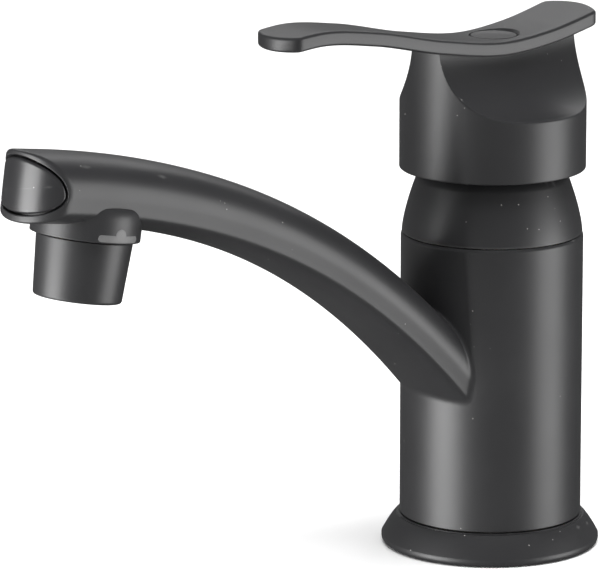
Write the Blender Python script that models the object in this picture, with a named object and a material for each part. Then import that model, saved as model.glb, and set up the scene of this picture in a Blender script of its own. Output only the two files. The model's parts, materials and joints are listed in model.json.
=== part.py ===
"""Single-lever basin mixer: a fixed brass core that holds a ceramic cartridge, a swivelling
column sleeve with an arched spout, a turning outlet nozzle, and a lever handle that lifts and turns.

Metres, +Z up. The origin is the centre of the foot on the deck, and the spout points along -Y.
"""

import math

import bmesh
import bpy
import numpy as np
from mathutils import Matrix

MM = 0.001
DEG = math.pi / 180

# Fits
SEAT_GAP = 0.3 * MM  # between faces that touch on the real object
SLIDE_GAP = 0.3 * MM  # between a moving piece and what guides it
SEAM = 0.3 * MM  # visible joint line between two outer pieces
CUT_PAST = 1.0 * MM  # how far a cutter runs past the face it opens

# Cartridge: its radius sets the column's, and its stack of discs sets the chamber's depth
CARTRIDGE_RADIUS = 17.4 * MM
CARTRIDGE_WALL = 1.8 * MM
CARTRIDGE_NECK_STEP = 2.9 * MM
NECK_SKIN = 2.2 * MM
HOUSING_ROOF = 2.0 * MM
BASE_THICKNESS = 4.0 * MM
BASE_LIP = 1.4 * MM
DISC_THICKNESS = 3.0 * MM
DISC_ROOM = 0.6 * MM  # between the fixed disc and the housing
DISC_TRAVEL = 4.0 * MM  # how much smaller the moving disc is in radius
DISH_RADIUS = 6.0 * MM
DISH_DEPTH = 1.6 * MM
CARRIER_THICKNESS = 3.2 * MM
CARRIER_FLOOR = 0.7 * MM
CUP_ROOM = 0.5 * MM
GUIDE_FLANGE = 1.3 * MM
GUIDE_FLANGE_ROOM = 1.0 * MM
GUIDE_SKIN = 1.8 * MM  # between the stem's slot and the guide's side
PIN_RADIUS = 1.5 * MM
PIN_RECESS = 0.8 * MM
STEM_SIDE = 7.0 * MM
STEM_TIP_RADIUS = 1.9 * MM
STEM_CHEEK_RISE = 2.2 * MM
STEM_BODY_RISE = 5.0 * MM
STEM_CORNER = 0.8 * MM
NUT_LIP = 1.0 * MM
NUT_NOTCH_HALF = 1.6 * MM
NUT_NOTCH_DEPTH = 2.0 * MM
PORT_SEAL_CORD = 1.5 * MM
PORT_SEAL_DEPTH = 1.6 * MM
PORT_SEAL_SPREAD = 0.6 * MM
PORT_POCKET_SPREAD = 1.9 * MM
PORT_SHARE = 0.9  # of the core's passages

# Column sleeve, core and foot
CORE_WALL = 3.5 * MM
COLUMN_WALL = 2.5 * MM
COLUMN_TOP = 84.1 * MM
COLUMN_BEVEL = 0.4 * MM
BORE_RADIUS = CARTRIDGE_RADIUS + SEAT_GAP + CORE_WALL + SLIDE_GAP
COLUMN_RADIUS = BORE_RADIUS + COLUMN_WALL
FLANGE_SPREAD = 4.8 * MM
FLANGE_HEIGHT = 8.05 * MM
FLANGE_LIP = 0.5 * MM  # how far the flange stands out from the column at its top
FLANGE_EDGE_ROUND = 1.5 * MM
FLANGE_POWER = 0.75
FOOT_INSET = 3.5 * MM
FOOT_STEP = 5.0 * MM
FOOT_LAND = 5.0 * MM
GASKET_THICKNESS = 1.5 * MM
GASKET_WIDTH = 3.0 * MM
WAIST_DEPTH = 4.0 * MM
WAIST_SLOPE = 2.0 * MM
CHANNEL_DEPTH = 3.0 * MM
CHANNEL_SLOPE = 1.0 * MM
CHANNEL_HEIGHT = 12.0 * MM
CHANNEL_BELOW_TOP = 26.1 * MM
SEAL_CORD = 2.2 * MM
SEAL_SQUEEZE = 0.1 * MM
SEAL_TO_CHANNEL = 8.0 * MM
UPPER_SEAL_BELOW_TOP = 13.1 * MM
LAND_TO_SEAL = 8.0 * MM
NECK_INSET = 0.6 * MM
NECK_RISE = 6.9 * MM
INLET_OFFSET_X = 7.2 * MM
INLET_OFFSET_Y = 4.2 * MM
INLET_SOCKET_RADIUS = 5.0 * MM
INLET_SOCKET_DEPTH = 11.0 * MM
PASSAGE_RADIUS = 3.0 * MM
OUTLET_OFFSET = 8.5 * MM
OUTLET_PORT_RADIUS = 2.8 * MM
STUD_OFFSET = 11.0 * MM
STUD_RADIUS = 4.0 * MM
STUD_DEPTH = 13.0 * MM
GLIDE_HEIGHT = 1.6 * MM
GLIDE_ROOM = 0.1 * MM
GLIDE_SKIN = 1.1 * MM

# Heights above the column
CARTRIDGE_SHOULDER = COLUMN_TOP - 0.1 * MM
CARTRIDGE_TOP = CARTRIDGE_SHOULDER + 13.0 * MM
NECK_TOP = COLUMN_TOP + NECK_RISE
GUIDE_TOP = CARTRIDGE_TOP + 1.5 * MM
PIVOT_HEIGHT = CARTRIDGE_SHOULDER + 4.0 * MM
HOUSING_CEILING = CARTRIDGE_SHOULDER - HOUSING_ROOF
STACK_HEIGHT = BASE_THICKNESS + 2 * DISC_THICKNESS + CARRIER_THICKNESS + 3 * SEAT_GAP + SLIDE_GAP
CHAMBER_FLOOR = HOUSING_CEILING - 2 * SLIDE_GAP - GUIDE_FLANGE - STACK_HEIGHT
CHANNEL_TOP = COLUMN_TOP - CHANNEL_BELOW_TOP
CHANNEL_BOTTOM = CHANNEL_TOP - CHANNEL_HEIGHT
SEAL_UPPER_Z = COLUMN_TOP - UPPER_SEAL_BELOW_TOP
SEAL_LOWER_Z = CHANNEL_BOTTOM - SEAL_TO_CHANNEL
LAND_BOTTOM = SEAL_LOWER_Z - LAND_TO_SEAL

# Radii inside the cartridge
HOUSING_BORE = CARTRIDGE_RADIUS - CARTRIDGE_WALL
CARTRIDGE_NECK_RADIUS = CARTRIDGE_RADIUS - CARTRIDGE_NECK_STEP
GUIDE_RADIUS = CARTRIDGE_NECK_RADIUS - NECK_SKIN - SLIDE_GAP
FIXED_DISC_RADIUS = HOUSING_BORE - DISC_ROOM
MOVING_DISC_RADIUS = FIXED_DISC_RADIUS - DISC_TRAVEL

# Shoulder cover
SHOULDER_WALL = 2.0 * MM
SHOULDER_INSET = 0.25 * MM
SHOULDER_SIDE = 14.2 * MM
SHOULDER_IN = 3.65 * MM
SHOULDER_POWER = 1.45
SHOULDER_MOUTH = CARTRIDGE_NECK_RADIUS + 1.1 * MM
SHOULDER_TOP = COLUMN_TOP + 17.5 * MM

# Handle
HUB_RADIUS = COLUMN_RADIUS + 0.5 * MM
HUB_WALL = 2.5 * MM
HUB_EDGE = 0.5 * MM
HUB_BOTTOM = SHOULDER_TOP - 0.25 * MM
HUB_CEILING = HUB_BOTTOM + 11.65 * MM
HUB_CORNER = 2.0 * MM
HUB_ROOF = 4.5 * MM  # between the ceiling and the lowest point of the scoops
WEB_HALF = 5.0 * MM
SCOOP_OUTSET = 1.0 * MM  # from the hub's side to the scoops' axes
SCOOP_RADIUS = HUB_RADIUS + SCOOP_OUTSET - WEB_HALF
BOSS_WALL = 3.4 * MM
BOSS_BELOW_CEILING = 8.5 * MM
STEM_TOP = HUB_CEILING + 6.5 * MM
SCREW_SEAT = STEM_TOP + 3.5 * MM
SCREW_HEAD_RADIUS = 3.2 * MM
SCREW_HEAD_HEIGHT = 3.5 * MM
SCREW_RADIUS = 2.0 * MM
SCREW_LENGTH = 12.0 * MM
SCREW_KEY_RADIUS = 1.45 * MM
SCREW_KEY_DEPTH = 2.2 * MM
BLADE_FRONT = -76.9 * MM
BLADE_BACK = HUB_RADIUS + 6.1 * MM
BLADE_FRONT_WIDTH = 16.4 * MM
BLADE_BACK_WIDTH = 20.2 * MM
BLADE_THICKNESS = 3.8 * MM
BLADE_END_BULGE = 3.0 * MM
BLADE_EDGE = 0.6 * MM
BLADE_DIP = SCREW_SEAT + 13.35 * MM  # the lowest point of the blade's top
# The line of the blade's top from its front to its back, as y and height above the dip
BLADE_LINE = (
    (BLADE_FRONT - 0.1 * MM, 8.75 * MM),
    (-66.0 * MM, 9.85 * MM),
    (-48.0 * MM, 7.75 * MM),
    (-25.0 * MM, 2.8 * MM),
    (-3.0 * MM, 0.0 * MM),
    (12.0 * MM, 1.25 * MM),
    (BLADE_BACK + 0.4 * MM, 5.25 * MM),
)
CAP_RADIUS = 6.1 * MM
CAP_THICKNESS = 1.2 * MM
CAP_RIM = 0.4 * MM
CAP_DISH = 0.35 * MM

# Spout: a line in the Y-Z plane, and a section that narrows and deepens towards the nose
SPOUT_START = (-12.7 * MM, COLUMN_TOP - 42.05 * MM)
SPOUT_START_PITCH = 49.0 * DEG
SPOUT_START_PULL = 55.4 * MM
SPOUT_REACH = 149.6 * MM
SPOUT_RISE = 74.15 * MM
SPOUT_END = (-SPOUT_REACH, SPOUT_START[1] + SPOUT_RISE)
SPOUT_END_PITCH = 8.5 * DEG
SPOUT_END_PULL = 57.6 * MM
ROOT_HALF_WIDTH = 14.0 * MM
NOZZLE_TOP_RADIUS = 12.1 * MM
NOSE_HALF_WIDTH = NOZZLE_TOP_RADIUS  # the nose is as wide as the nozzle under it
ROOT_CROWN = 9.05 * MM  # from the widest line up to the ridge
NOSE_CROWN = 9.65 * MM
ROOT_BELLY = 3.5 * MM
NOSE_BELLY = 4.6 * MM
ROOT_LEAN = 0.8 * MM
NOSE_LEAN = 0.3 * MM
ROOT_POWER = 2.2
NOSE_POWER = 2.8
BELLY_POWER = 2.2
SPOUT_FACET = 3.5 * MM
SPOUT_WALL = 2.6 * MM
NOSE_REACH = 9.05 * MM  # from the nose's axis to its front
NOSE_SKIM = 0.05 * MM
LINER_RADIUS = 5.0 * MM
LINER_WALL = 1.2 * MM
LINER_LIFT = 1.2 * MM
LINER_CLEAR = 5.0 * MM  # from the liner's ends to the column's bore and to the nozzle's way

# Nose cover
COVER_HALF_TURN = 73.0 * DEG
COVER_RISE = NOSE_CROWN - 1.95 * MM
COVER_DROP = SPOUT_FACET + NOSE_BELLY - 2.5 * MM
COVER_POWER = 1.85
COVER_THICKNESS = 2.0 * MM
COVER_GROOVE = 0.5 * MM
COVER_EDGE = 0.45 * MM
PLUG_RADIUS = 4.2 * MM
PLUG_LENGTH = 8.0 * MM
PLUG_BORE_END = 4.0 * MM
PLUG_GROOVE_DEPTH = 1.2 * MM
PLUG_GROOVE_HEIGHT = 2.0 * MM
PLUG_GROOVE_START = 2.4 * MM
PLUG_HOLLOW_DEPTH = 2.5 * MM
PLUG_SEAL_CORD = 1.4 * MM

# Nozzle
NOZZLE_SETBACK = 14.4 * MM  # along the spout's line from its end to where the nozzle's axis crosses
NOZZLE_TILT = 9.7 * DEG
NOZZLE_TAPER = 1.0 * MM
NOZZLE_LENGTH = 15.2 * MM
NOZZLE_WALL = 1.6 * MM
NOZZLE_LIP = 0.9 * MM
NOZZLE_END_RADIUS = NOZZLE_TOP_RADIUS - NOZZLE_TAPER
COLLAR_RADIUS = NOZZLE_TOP_RADIUS + 1.7 * MM
COLLAR_DROP = 11.0 * MM
COLLAR_EDGE = 0.4 * MM
COLLAR_SHOULDER = 5.2 * MM
COLLAR_TOP = 8.7 * MM
NIPPLE_RADIUS = NOZZLE_TOP_RADIUS - 2.7 * MM
NIPPLE_WALL = 2.4 * MM
NIPPLE_BORE = NIPPLE_RADIUS - NIPPLE_WALL
NIPPLE_STEP = 1.2 * MM
NIPPLE_HOLD = 7.5 * MM
NIPPLE_REACH = 6.0 * MM
NOZZLE_GASKET_THICKNESS = 1.3 * MM
NOZZLE_SEAT_DROP = 2.3 * MM
GASKET_INSET = 0.8 * MM
AERATOR_MOUTH_INSET = 2.0 * MM
AERATOR_RECESS = 1.6 * MM
AERATOR_WALL = 1.3 * MM
AERATOR_ROOF = 0.9 * MM
SPRAY_THICKNESS = 1.0 * MM
SPRAY_HOLE_RADIUS = 0.6 * MM
SPRAY_EDGE = 3.2 * MM  # from the plate's rim to its outer ring of holes
INDEX_HALF_ANGLE = 26.0 * DEG
INDEX_BOTTOM = 0.35 * MM
INDEX_HEIGHT = 2.1 * MM
INDEX_CORNER = 0.8 * MM
INDEX_DEPTH = 1.0 * MM
INDEX_PROUD = 0.05 * MM
INDEX_BUMP = 1.65 * MM
INDEX_ROOM = 0.25 * MM

# Facets round a turn
FINE = 48
MEDIUM = 36
SMALL = 20


def clear_scene():
    for obj in list(bpy.data.objects):
        bpy.data.objects.remove(obj, do_unlink=True)


def make_material(name, colour, roughness, metallic):
    material = bpy.data.materials.new(name)
    material.use_nodes = True
    shader = material.node_tree.nodes["Principled BSDF"]
    shader.inputs["Base Color"].default_value = (*colour, 1.0)
    shader.inputs["Roughness"].default_value = roughness
    shader.inputs["Metallic"].default_value = metallic
    return material


def add_object(name, mesh, material=None, parent=None, location=(0, 0, 0), rotation=(0, 0, 0)):
    obj = bpy.data.objects.new(name, mesh)
    bpy.context.scene.collection.objects.link(obj)
    obj.location = location
    obj.rotation_euler = rotation
    obj.parent = parent
    if material:
        mesh.materials.append(material)
        mesh.shade_smooth()
        mesh.set_sharp_from_angle(angle=35 * DEG)
    return obj


def add_axis(name, location=(0, 0, 0), tilt=0.0, parent=None):
    """An empty on a joint's axis, tilted about X, which its pieces hang from."""
    empty = bpy.data.objects.new(name, None)
    bpy.context.scene.collection.objects.link(empty)
    empty.location = location
    empty.rotation_euler = (tilt, 0, 0)
    empty.parent = parent
    return empty


def mesh_from(bm, name):
    bmesh.ops.remove_doubles(bm, verts=bm.verts, dist=1e-7)
    bmesh.ops.recalc_face_normals(bm, faces=bm.faces)
    mesh = bpy.data.meshes.new(name)
    bm.to_mesh(mesh)
    bm.free()
    return mesh


def turned_mesh(name, outline, steps):
    """A closed outline of (radius, height) points, spun once round Z."""
    bm = bmesh.new()
    verts = [bm.verts.new((radius, 0, height)) for radius, height in outline]
    edges = [bm.edges.new((a, b)) for a, b in zip(verts, verts[1:] + verts[:1])]
    bmesh.ops.spin(
        bm, geom=verts + edges, cent=(0, 0, 0), axis=(0, 0, 1), dvec=(0, 0, 0),
        angle=2 * math.pi, steps=steps, use_merge=True,
    )
    bmesh.ops.dissolve_degenerate(bm, dist=1e-7, edges=bm.edges)
    return mesh_from(bm, name)


def turned(name, outline, material, parent=None, steps=MEDIUM, **place):
    return add_object(name, turned_mesh(name, outline, steps), material, parent, **place)


def tube_outline(inner, outer, bottom, top):
    return [(inner, bottom), (outer, bottom), (outer, top), (inner, top)]


def arc(centre, radius, start, end, count):
    """Points on a round stretch of an outline; the angles are in degrees."""
    angles = np.linspace(start * DEG, end * DEG, count)
    return [(centre[0] + radius * math.cos(a), centre[1] + radius * math.sin(a)) for a in angles]


def seal_ring(name, ring_radius, cord, height, material, parent=None, steps=MEDIUM, sides=6, **place):
    outline = arc((ring_radius, height), cord / 2, 0, 360, sides + 1)[:-1]
    return turned(name, outline, material, parent, steps, **place)


def prism_mesh(name, outline, along, start, end):
    """A closed outline pushed along one axis: "X" takes (y, z) points, "Y" (x, z), "Z" (x, y)."""
    place = {
        "X": lambda a, b, c: (c, a, b),
        "Y": lambda a, b, c: (a, c, b),
        "Z": lambda a, b, c: (a, b, c),
    }[along]
    bm = bmesh.new()
    low = [bm.verts.new(place(a, b, start)) for a, b in outline]
    high = [bm.verts.new(place(a, b, end)) for a, b in outline]
    bm.faces.new(low)
    bm.faces.new(high)
    for i in range(len(outline)):
        j = (i + 1) % len(outline)
        bm.faces.new((low[i], low[j], high[j], high[i]))
    return mesh_from(bm, name)


def box_outline(half_a, half_b, centre=(0.0, 0.0)):
    a, b = centre
    return [
        (a - half_a, b - half_b), (a + half_a, b - half_b),
        (a + half_a, b + half_b), (a - half_a, b + half_b),
    ]


def disc_outline(radius, centre=(0.0, 0.0), count=SMALL):
    return arc(centre, radius, 0, 360, count + 1)[:-1]


def loft_mesh(name, rings):
    """Closed rings of equal length, joined in order, with a flat face on each end."""
    bm = bmesh.new()
    rows = [[bm.verts.new(point) for point in ring] for ring in rings]
    for row, following in zip(rows, rows[1:]):
        for i in range(len(row)):
            j = (i + 1) % len(row)
            bm.faces.new((row[i], row[j], following[j], following[i]))
    bm.faces.new(rows[0])
    bm.faces.new(rows[-1])
    return mesh_from(bm, name)


def combine(target, tool_mesh, operation="DIFFERENCE", parent=None, **place):
    """Cuts target with a hidden tool, or joins the tool to it."""
    tool = add_object(f"{target.name}.tool", tool_mesh, None, parent, **place)
    tool.hide_render = True
    tool.display_type = "WIRE"
    modifier = target.modifiers.new(operation.title(), "BOOLEAN")
    modifier.operation = operation
    modifier.solver = "EXACT"
    modifier.object = tool
    return tool


def smooth_line(points, count):
    """A smooth line through a few points: each span is a cubic whose end slopes come from the
    points on either side."""
    points = np.array(points)
    run = np.diff(points[:, 0])
    slopes = np.diff(points[:, 1]) / run
    inner = (slopes[:-1] * run[1:] + slopes[1:] * run[:-1]) / (run[1:] + run[:-1])
    slope = np.concatenate([[slopes[0]], inner, [slopes[-1]]])
    x = np.linspace(points[0, 0], points[-1, 0], count)
    k = np.clip(np.searchsorted(points[:, 0], x) - 1, 0, len(run) - 1)
    t = (x - points[k, 0]) / run[k]
    rise = (
        (2 * t**3 - 3 * t**2 + 1) * points[k, 1]
        + (t**3 - 2 * t**2 + t) * run[k] * slope[k]
        + (3 * t**2 - 2 * t**3) * points[k + 1, 1]
        + (t**3 - t**2) * run[k] * slope[k + 1]
    )
    return x, rise


# ---------------------------------------------------------------- foot and core


def build_foot(black, rubber):
    """The flange rings the core's foot, which clamps it to the deck over a flat gasket."""
    top_radius = COLUMN_RADIUS + FLANGE_LIP
    outer = COLUMN_RADIUS + FLANGE_SPREAD
    step = FOOT_STEP - SEAT_GAP
    inner_low = foot_radius() + SEAT_GAP
    gasket_outer = outer - 2 * FLANGE_EDGE_ROUND + SEAT_GAP
    gasket_inner = gasket_outer - GASKET_WIDTH
    drop = FLANGE_HEIGHT - 1.4 * FLANGE_EDGE_ROUND
    flare = [
        (top_radius + (outer - top_radius) * t**FLANGE_POWER, FLANGE_HEIGHT - drop * t)
        for t in np.linspace(0, 1, 6)
    ]
    outline = (
        [(inner_low, 0), (gasket_inner - SEAT_GAP, 0)]
        + [(gasket_inner - SEAT_GAP, GASKET_THICKNESS + SEAT_GAP)]
        + [(gasket_outer + SEAT_GAP, GASKET_THICKNESS + SEAT_GAP), (gasket_outer + SEAT_GAP, 0)]
        + arc((outer - FLANGE_EDGE_ROUND, FLANGE_EDGE_ROUND), FLANGE_EDGE_ROUND, -80, 0, 4)
        + flare[::-1]
        + [(BORE_RADIUS, FLANGE_HEIGHT), (BORE_RADIUS, step), (inner_low, step)]
    )
    turned("deck_flange", outline, black, steps=FINE)
    turned("deck_gasket", tube_outline(gasket_inner, gasket_outer, 0, GASKET_THICKNESS), rubber)


def foot_radius():
    return BORE_RADIUS - FOOT_INSET


def glide_ring_radii():
    return BORE_RADIUS + GLIDE_ROOM, COLUMN_RADIUS - GLIDE_SKIN


def cut_round(piece, radius, centre, bottom, top, count=SMALL, parent=None):
    """Drills a round hole along Z."""
    combine(piece, prism_mesh("drill", disc_outline(radius, centre, count), "Z", bottom, top), parent=parent)


def groove_outline(land, groove, middle, half):
    return [(land, middle - half), (groove, middle - half), (groove, middle + half), (land, middle + half)]


def build_core(brass, rubber, nylon):
    """The brass core: sockets for two hoses and a stud below, a ring channel that feeds the
    spout between two seals, and the cartridge's chamber on top."""
    land = BORE_RADIUS - SLIDE_GAP
    ledge = BORE_RADIUS - 2 * SLIDE_GAP
    waist = land - WAIST_DEPTH
    channel = land - CHANNEL_DEPTH
    groove = land - SEAL_CORD + SLIDE_GAP
    groove_half = SEAL_CORD / 2 + SEAT_GAP
    neck = land - NECK_INSET
    chamber = CARTRIDGE_RADIUS + SEAT_GAP
    foot_top = FOOT_STEP + FOOT_LAND
    outline = (
        [(0, 0), (foot_radius(), 0), (foot_radius(), FOOT_STEP), (ledge, FOOT_STEP), (ledge, foot_top)]
        + [(waist, foot_top + WAIST_SLOPE), (waist, LAND_BOTTOM - WAIST_SLOPE), (land, LAND_BOTTOM)]
        + groove_outline(land, groove, SEAL_LOWER_Z, groove_half)
        + [(land, CHANNEL_BOTTOM), (channel, CHANNEL_BOTTOM + CHANNEL_SLOPE)]
        + [(channel, CHANNEL_TOP - CHANNEL_SLOPE), (land, CHANNEL_TOP)]
        + groove_outline(land, groove, SEAL_UPPER_Z, groove_half)
        + [(land, COLUMN_TOP - SEAM), (neck, COLUMN_TOP - SEAM), (neck, NECK_TOP)]
        + [(chamber, NECK_TOP), (chamber, CHAMBER_FLOOR), (0, CHAMBER_FLOOR)]
    )
    core = turned("inner_body", outline, brass, steps=MEDIUM)
    middle = (CHANNEL_BOTTOM + CHANNEL_TOP) / 2
    opened = CHAMBER_FLOOR + CUT_PAST
    for side in (-1, 1):
        at = (side * INLET_OFFSET_X, INLET_OFFSET_Y)
        cut_round(core, INLET_SOCKET_RADIUS, at, -CUT_PAST, INLET_SOCKET_DEPTH)
        cut_round(core, PASSAGE_RADIUS, at, INLET_SOCKET_DEPTH - CUT_PAST, opened, 16)
    cut_round(core, STUD_RADIUS, (0, -STUD_OFFSET), -CUT_PAST, STUD_DEPTH)
    cut_round(core, PASSAGE_RADIUS, (0, -OUTLET_OFFSET), middle, opened, 16)
    port = disc_outline(OUTLET_PORT_RADIUS, (0, middle), 18)
    combine(core, prism_mesh("port", port, "Y", -COLUMN_RADIUS, -OUTLET_OFFSET))

    cord = SEAL_CORD - SEAL_SQUEEZE
    ring_radius = BORE_RADIUS - SEAL_CORD / 2 - SEAL_SQUEEZE / 2
    seal_ring("lower_swivel_seal", ring_radius, cord, SEAL_LOWER_Z, rubber)
    seal_ring("upper_swivel_seal", ring_radius, cord, SEAL_UPPER_Z, rubber)

    inner, outer = glide_ring_radii()
    low = FLANGE_HEIGHT + SEAM
    turned("lower_glide_ring", tube_outline(inner, outer, low, low + GLIDE_HEIGHT), nylon)
    turned("upper_glide_ring", tube_outline(inner, outer, COLUMN_TOP - GLIDE_HEIGHT, COLUMN_TOP), nylon)


# ---------------------------------------------------------------- spout


def spout_line(count, past_end=0.0):
    """Shares, points and unit tangents of the spout's line in the Y-Z plane: one cubic curve from
    the column to the nose's axis, then straight on."""
    start, end = np.array(SPOUT_START), np.array(SPOUT_END)
    leave = np.array((-math.cos(SPOUT_START_PITCH), math.sin(SPOUT_START_PITCH)))
    arrive = np.array((-math.cos(SPOUT_END_PITCH), math.sin(SPOUT_END_PITCH)))
    first = start + SPOUT_START_PULL * leave
    second = end - SPOUT_END_PULL * arrive
    share = np.linspace(0, 1, count)
    t = share[:, None]
    points = (1 - t) ** 3 * start + 3 * (1 - t) ** 2 * t * first + 3 * (1 - t) * t**2 * second + t**3 * end
    tangents = (1 - t) ** 2 * (first - start) + 2 * (1 - t) * t * (second - first) + t**2 * (end - second)
    tangents /= np.linalg.norm(tangents, axis=1)[:, None]
    if past_end:
        share = np.append(share, 1.0)
        points = np.vstack([points, end + past_end * arrive])
        tangents = np.vstack([tangents, arrive])
    return share, points, tangents


def arch(half, rise, power, start, end, count):
    """Points on half a superellipse, from one angle to another."""
    exponent = 2 / power
    points = []
    for angle in np.linspace(start, end, count):
        across = half * math.copysign(abs(math.cos(angle)) ** exponent, math.cos(angle))
        points.append((across, rise * max(math.sin(angle), 0.0) ** exponent))
    return points


def spout_section(share, inset, arch_points, belly_points):
    """One round of the spout's section as (x, height above the widest line): a full arch on top,
    a short leaning facet on each side, and a shallow arch below."""
    def between(root, nose):
        return root + (nose - root) * share

    half = between(ROOT_HALF_WIDTH, NOSE_HALF_WIDTH) - inset
    crown = between(ROOT_CROWN, NOSE_CROWN) - inset
    belly = between(ROOT_BELLY, NOSE_BELLY) - 0.6 * inset
    facet = SPOUT_FACET - 0.4 * inset
    low_half = half - between(ROOT_LEAN, NOSE_LEAN)
    power = ROOT_POWER + (NOSE_POWER - ROOT_POWER) * share**2
    top = arch(half, crown, power, 0, math.pi, arch_points)
    low = arch(low_half, belly, BELLY_POWER, math.pi, 0, belly_points)
    return top + [(x, -facet - rise) for x, rise in low]


def stand(section, point, tangent):
    """One round of points stood square to the line."""
    up = (tangent[1], -tangent[0])
    return [(x, point[0] + up[0] * rise, point[1] + up[1] * rise) for x, rise in section]


def section_rings(shares, points, tangents, inset, arch_points, belly_points):
    return [
        stand(spout_section(share, inset, arch_points, belly_points), point, tangent)
        for share, point, tangent in zip(shares, points, tangents)
    ]


def nozzle_centre():
    """The point on the spout's line that the nozzle's axis crosses, then the collar's rim."""
    _, points, _ = spout_line(800)
    from_end = np.cumsum(np.linalg.norm(np.diff(points[::-1], axis=0), axis=1))
    crossing = points[len(points) - 2 - int(np.searchsorted(from_end, NOZZLE_SETBACK))]
    down = np.array((-math.sin(NOZZLE_TILT), -math.cos(NOZZLE_TILT)))
    return crossing, crossing + COLLAR_DROP * down


def nose_front(inset):
    """Half width and reach of the nose's front, which is half an ellipse in plan."""
    return NOSE_HALF_WIDTH + NOSE_SKIM - inset, NOSE_REACH - inset


def plate_ring(share, inset, grow, sides):
    """One round of the nose cover's outline, at a share of its size, on the nose's front set back
    by inset. grow widens it on every side."""
    around = np.linspace(0, 2 * math.pi, sides, endpoint=False)
    exponent = 2 / COVER_POWER
    cosine = np.sign(np.cos(around)) * np.abs(np.cos(around)) ** exponent
    sine = np.sign(np.sin(around)) * np.abs(np.sin(around)) ** exponent
    turn = (COVER_HALF_TURN + grow / NOSE_REACH) * share * cosine
    height = (np.where(sine > 0, COVER_RISE, COVER_DROP) + grow) * share * sine
    half, reach = nose_front(inset)
    return np.stack([half * np.sin(turn), -reach * np.cos(turn), height], axis=1)


def rounded_plate_mesh(name, inner, outer, grow, edge=0.0, rings=4, sides=32):
    """A plate bent round the nose's front, between two insets from it. edge rounds its rim."""
    shares = np.sin(np.linspace(0, math.pi / 2, rings + 1))[1:]
    bm = bmesh.new()
    rows = []
    for share in shares:
        lean = edge * max(0.0, (share - 0.9) / 0.1) ** 2
        rows.append([bm.verts.new(p) for p in plate_ring(share, outer + lean, grow, sides)])
    for share in shares[::-1]:
        rows.append([bm.verts.new(p) for p in plate_ring(share, inner, grow, sides)])
    front = bm.verts.new((0, -nose_front(outer)[1], 0))
    back = bm.verts.new((0, -nose_front(inner)[1], 0))
    for i in range(sides):
        j = (i + 1) % sides
        bm.faces.new((front, rows[0][i], rows[0][j]))
        bm.faces.new((back, rows[-1][j], rows[-1][i]))
        for row, following in zip(rows, rows[1:]):
            bm.faces.new((row[i], following[i], following[j], row[j]))
    return mesh_from(bm, name)


def index_outline(grow):
    """The index mark in (arc length, height above the rim): a bar with a half-round bump."""
    half = INDEX_HALF_ANGLE * COLLAR_RADIUS + grow
    top = INDEX_HEIGHT + grow
    bottom = INDEX_BOTTOM - grow
    return (
        [(-half, bottom), (half, bottom)]
        + arc((half - INDEX_CORNER, top - INDEX_CORNER), INDEX_CORNER, 0, 90, 4)
        + arc((0, top), INDEX_BUMP + grow, 0, 180, 11)
        + arc((-half + INDEX_CORNER, top - INDEX_CORNER), INDEX_CORNER, 90, 180, 4)
    )


def index_mesh(name, inner, outer, grow):
    """The index mark bent round the collar on its +X side, as strips between two radii."""
    outline = index_outline(grow)
    xs = np.array([p[0] for p in outline])
    ys = np.array([p[1] for p in outline])
    bm = bmesh.new()
    flat = [bm.verts.new((x, y, 0)) for x, y in outline]
    bm.faces.new(flat)
    for cut in np.linspace(xs.min(), xs.max(), 10)[1:-1]:
        cells = bm.verts[:] + bm.edges[:] + bm.faces[:]
        bmesh.ops.bisect_plane(bm, geom=cells, plane_co=(cut, ys.min(), 0), plane_no=(1, 0, 0))
    skin = bmesh.ops.extrude_face_region(bm, geom=bm.faces[:])
    lifted = {v for v in skin["geom"] if isinstance(v, bmesh.types.BMVert)}
    for vert in bm.verts:
        radius = outer if vert in lifted else inner
        angle = vert.co.x / COLLAR_RADIUS
        vert.co = (radius * math.cos(angle), radius * math.sin(angle), vert.co.y)
    return mesh_from(bm, name)


def nose_place():
    """The nose's frame: its axis is Z, its front is -Y."""
    return {"location": (0, SPOUT_END[0], SPOUT_END[1]), "rotation": (-SPOUT_END_PITCH, 0, 0)}


def nozzle_place():
    """The nozzle's frame: the collar's rim is at height 0, the nozzle hangs below it."""
    _, rim = nozzle_centre()
    return {"location": (0, rim[0], rim[1]), "rotation": (-NOZZLE_TILT, 0, 0)}


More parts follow.
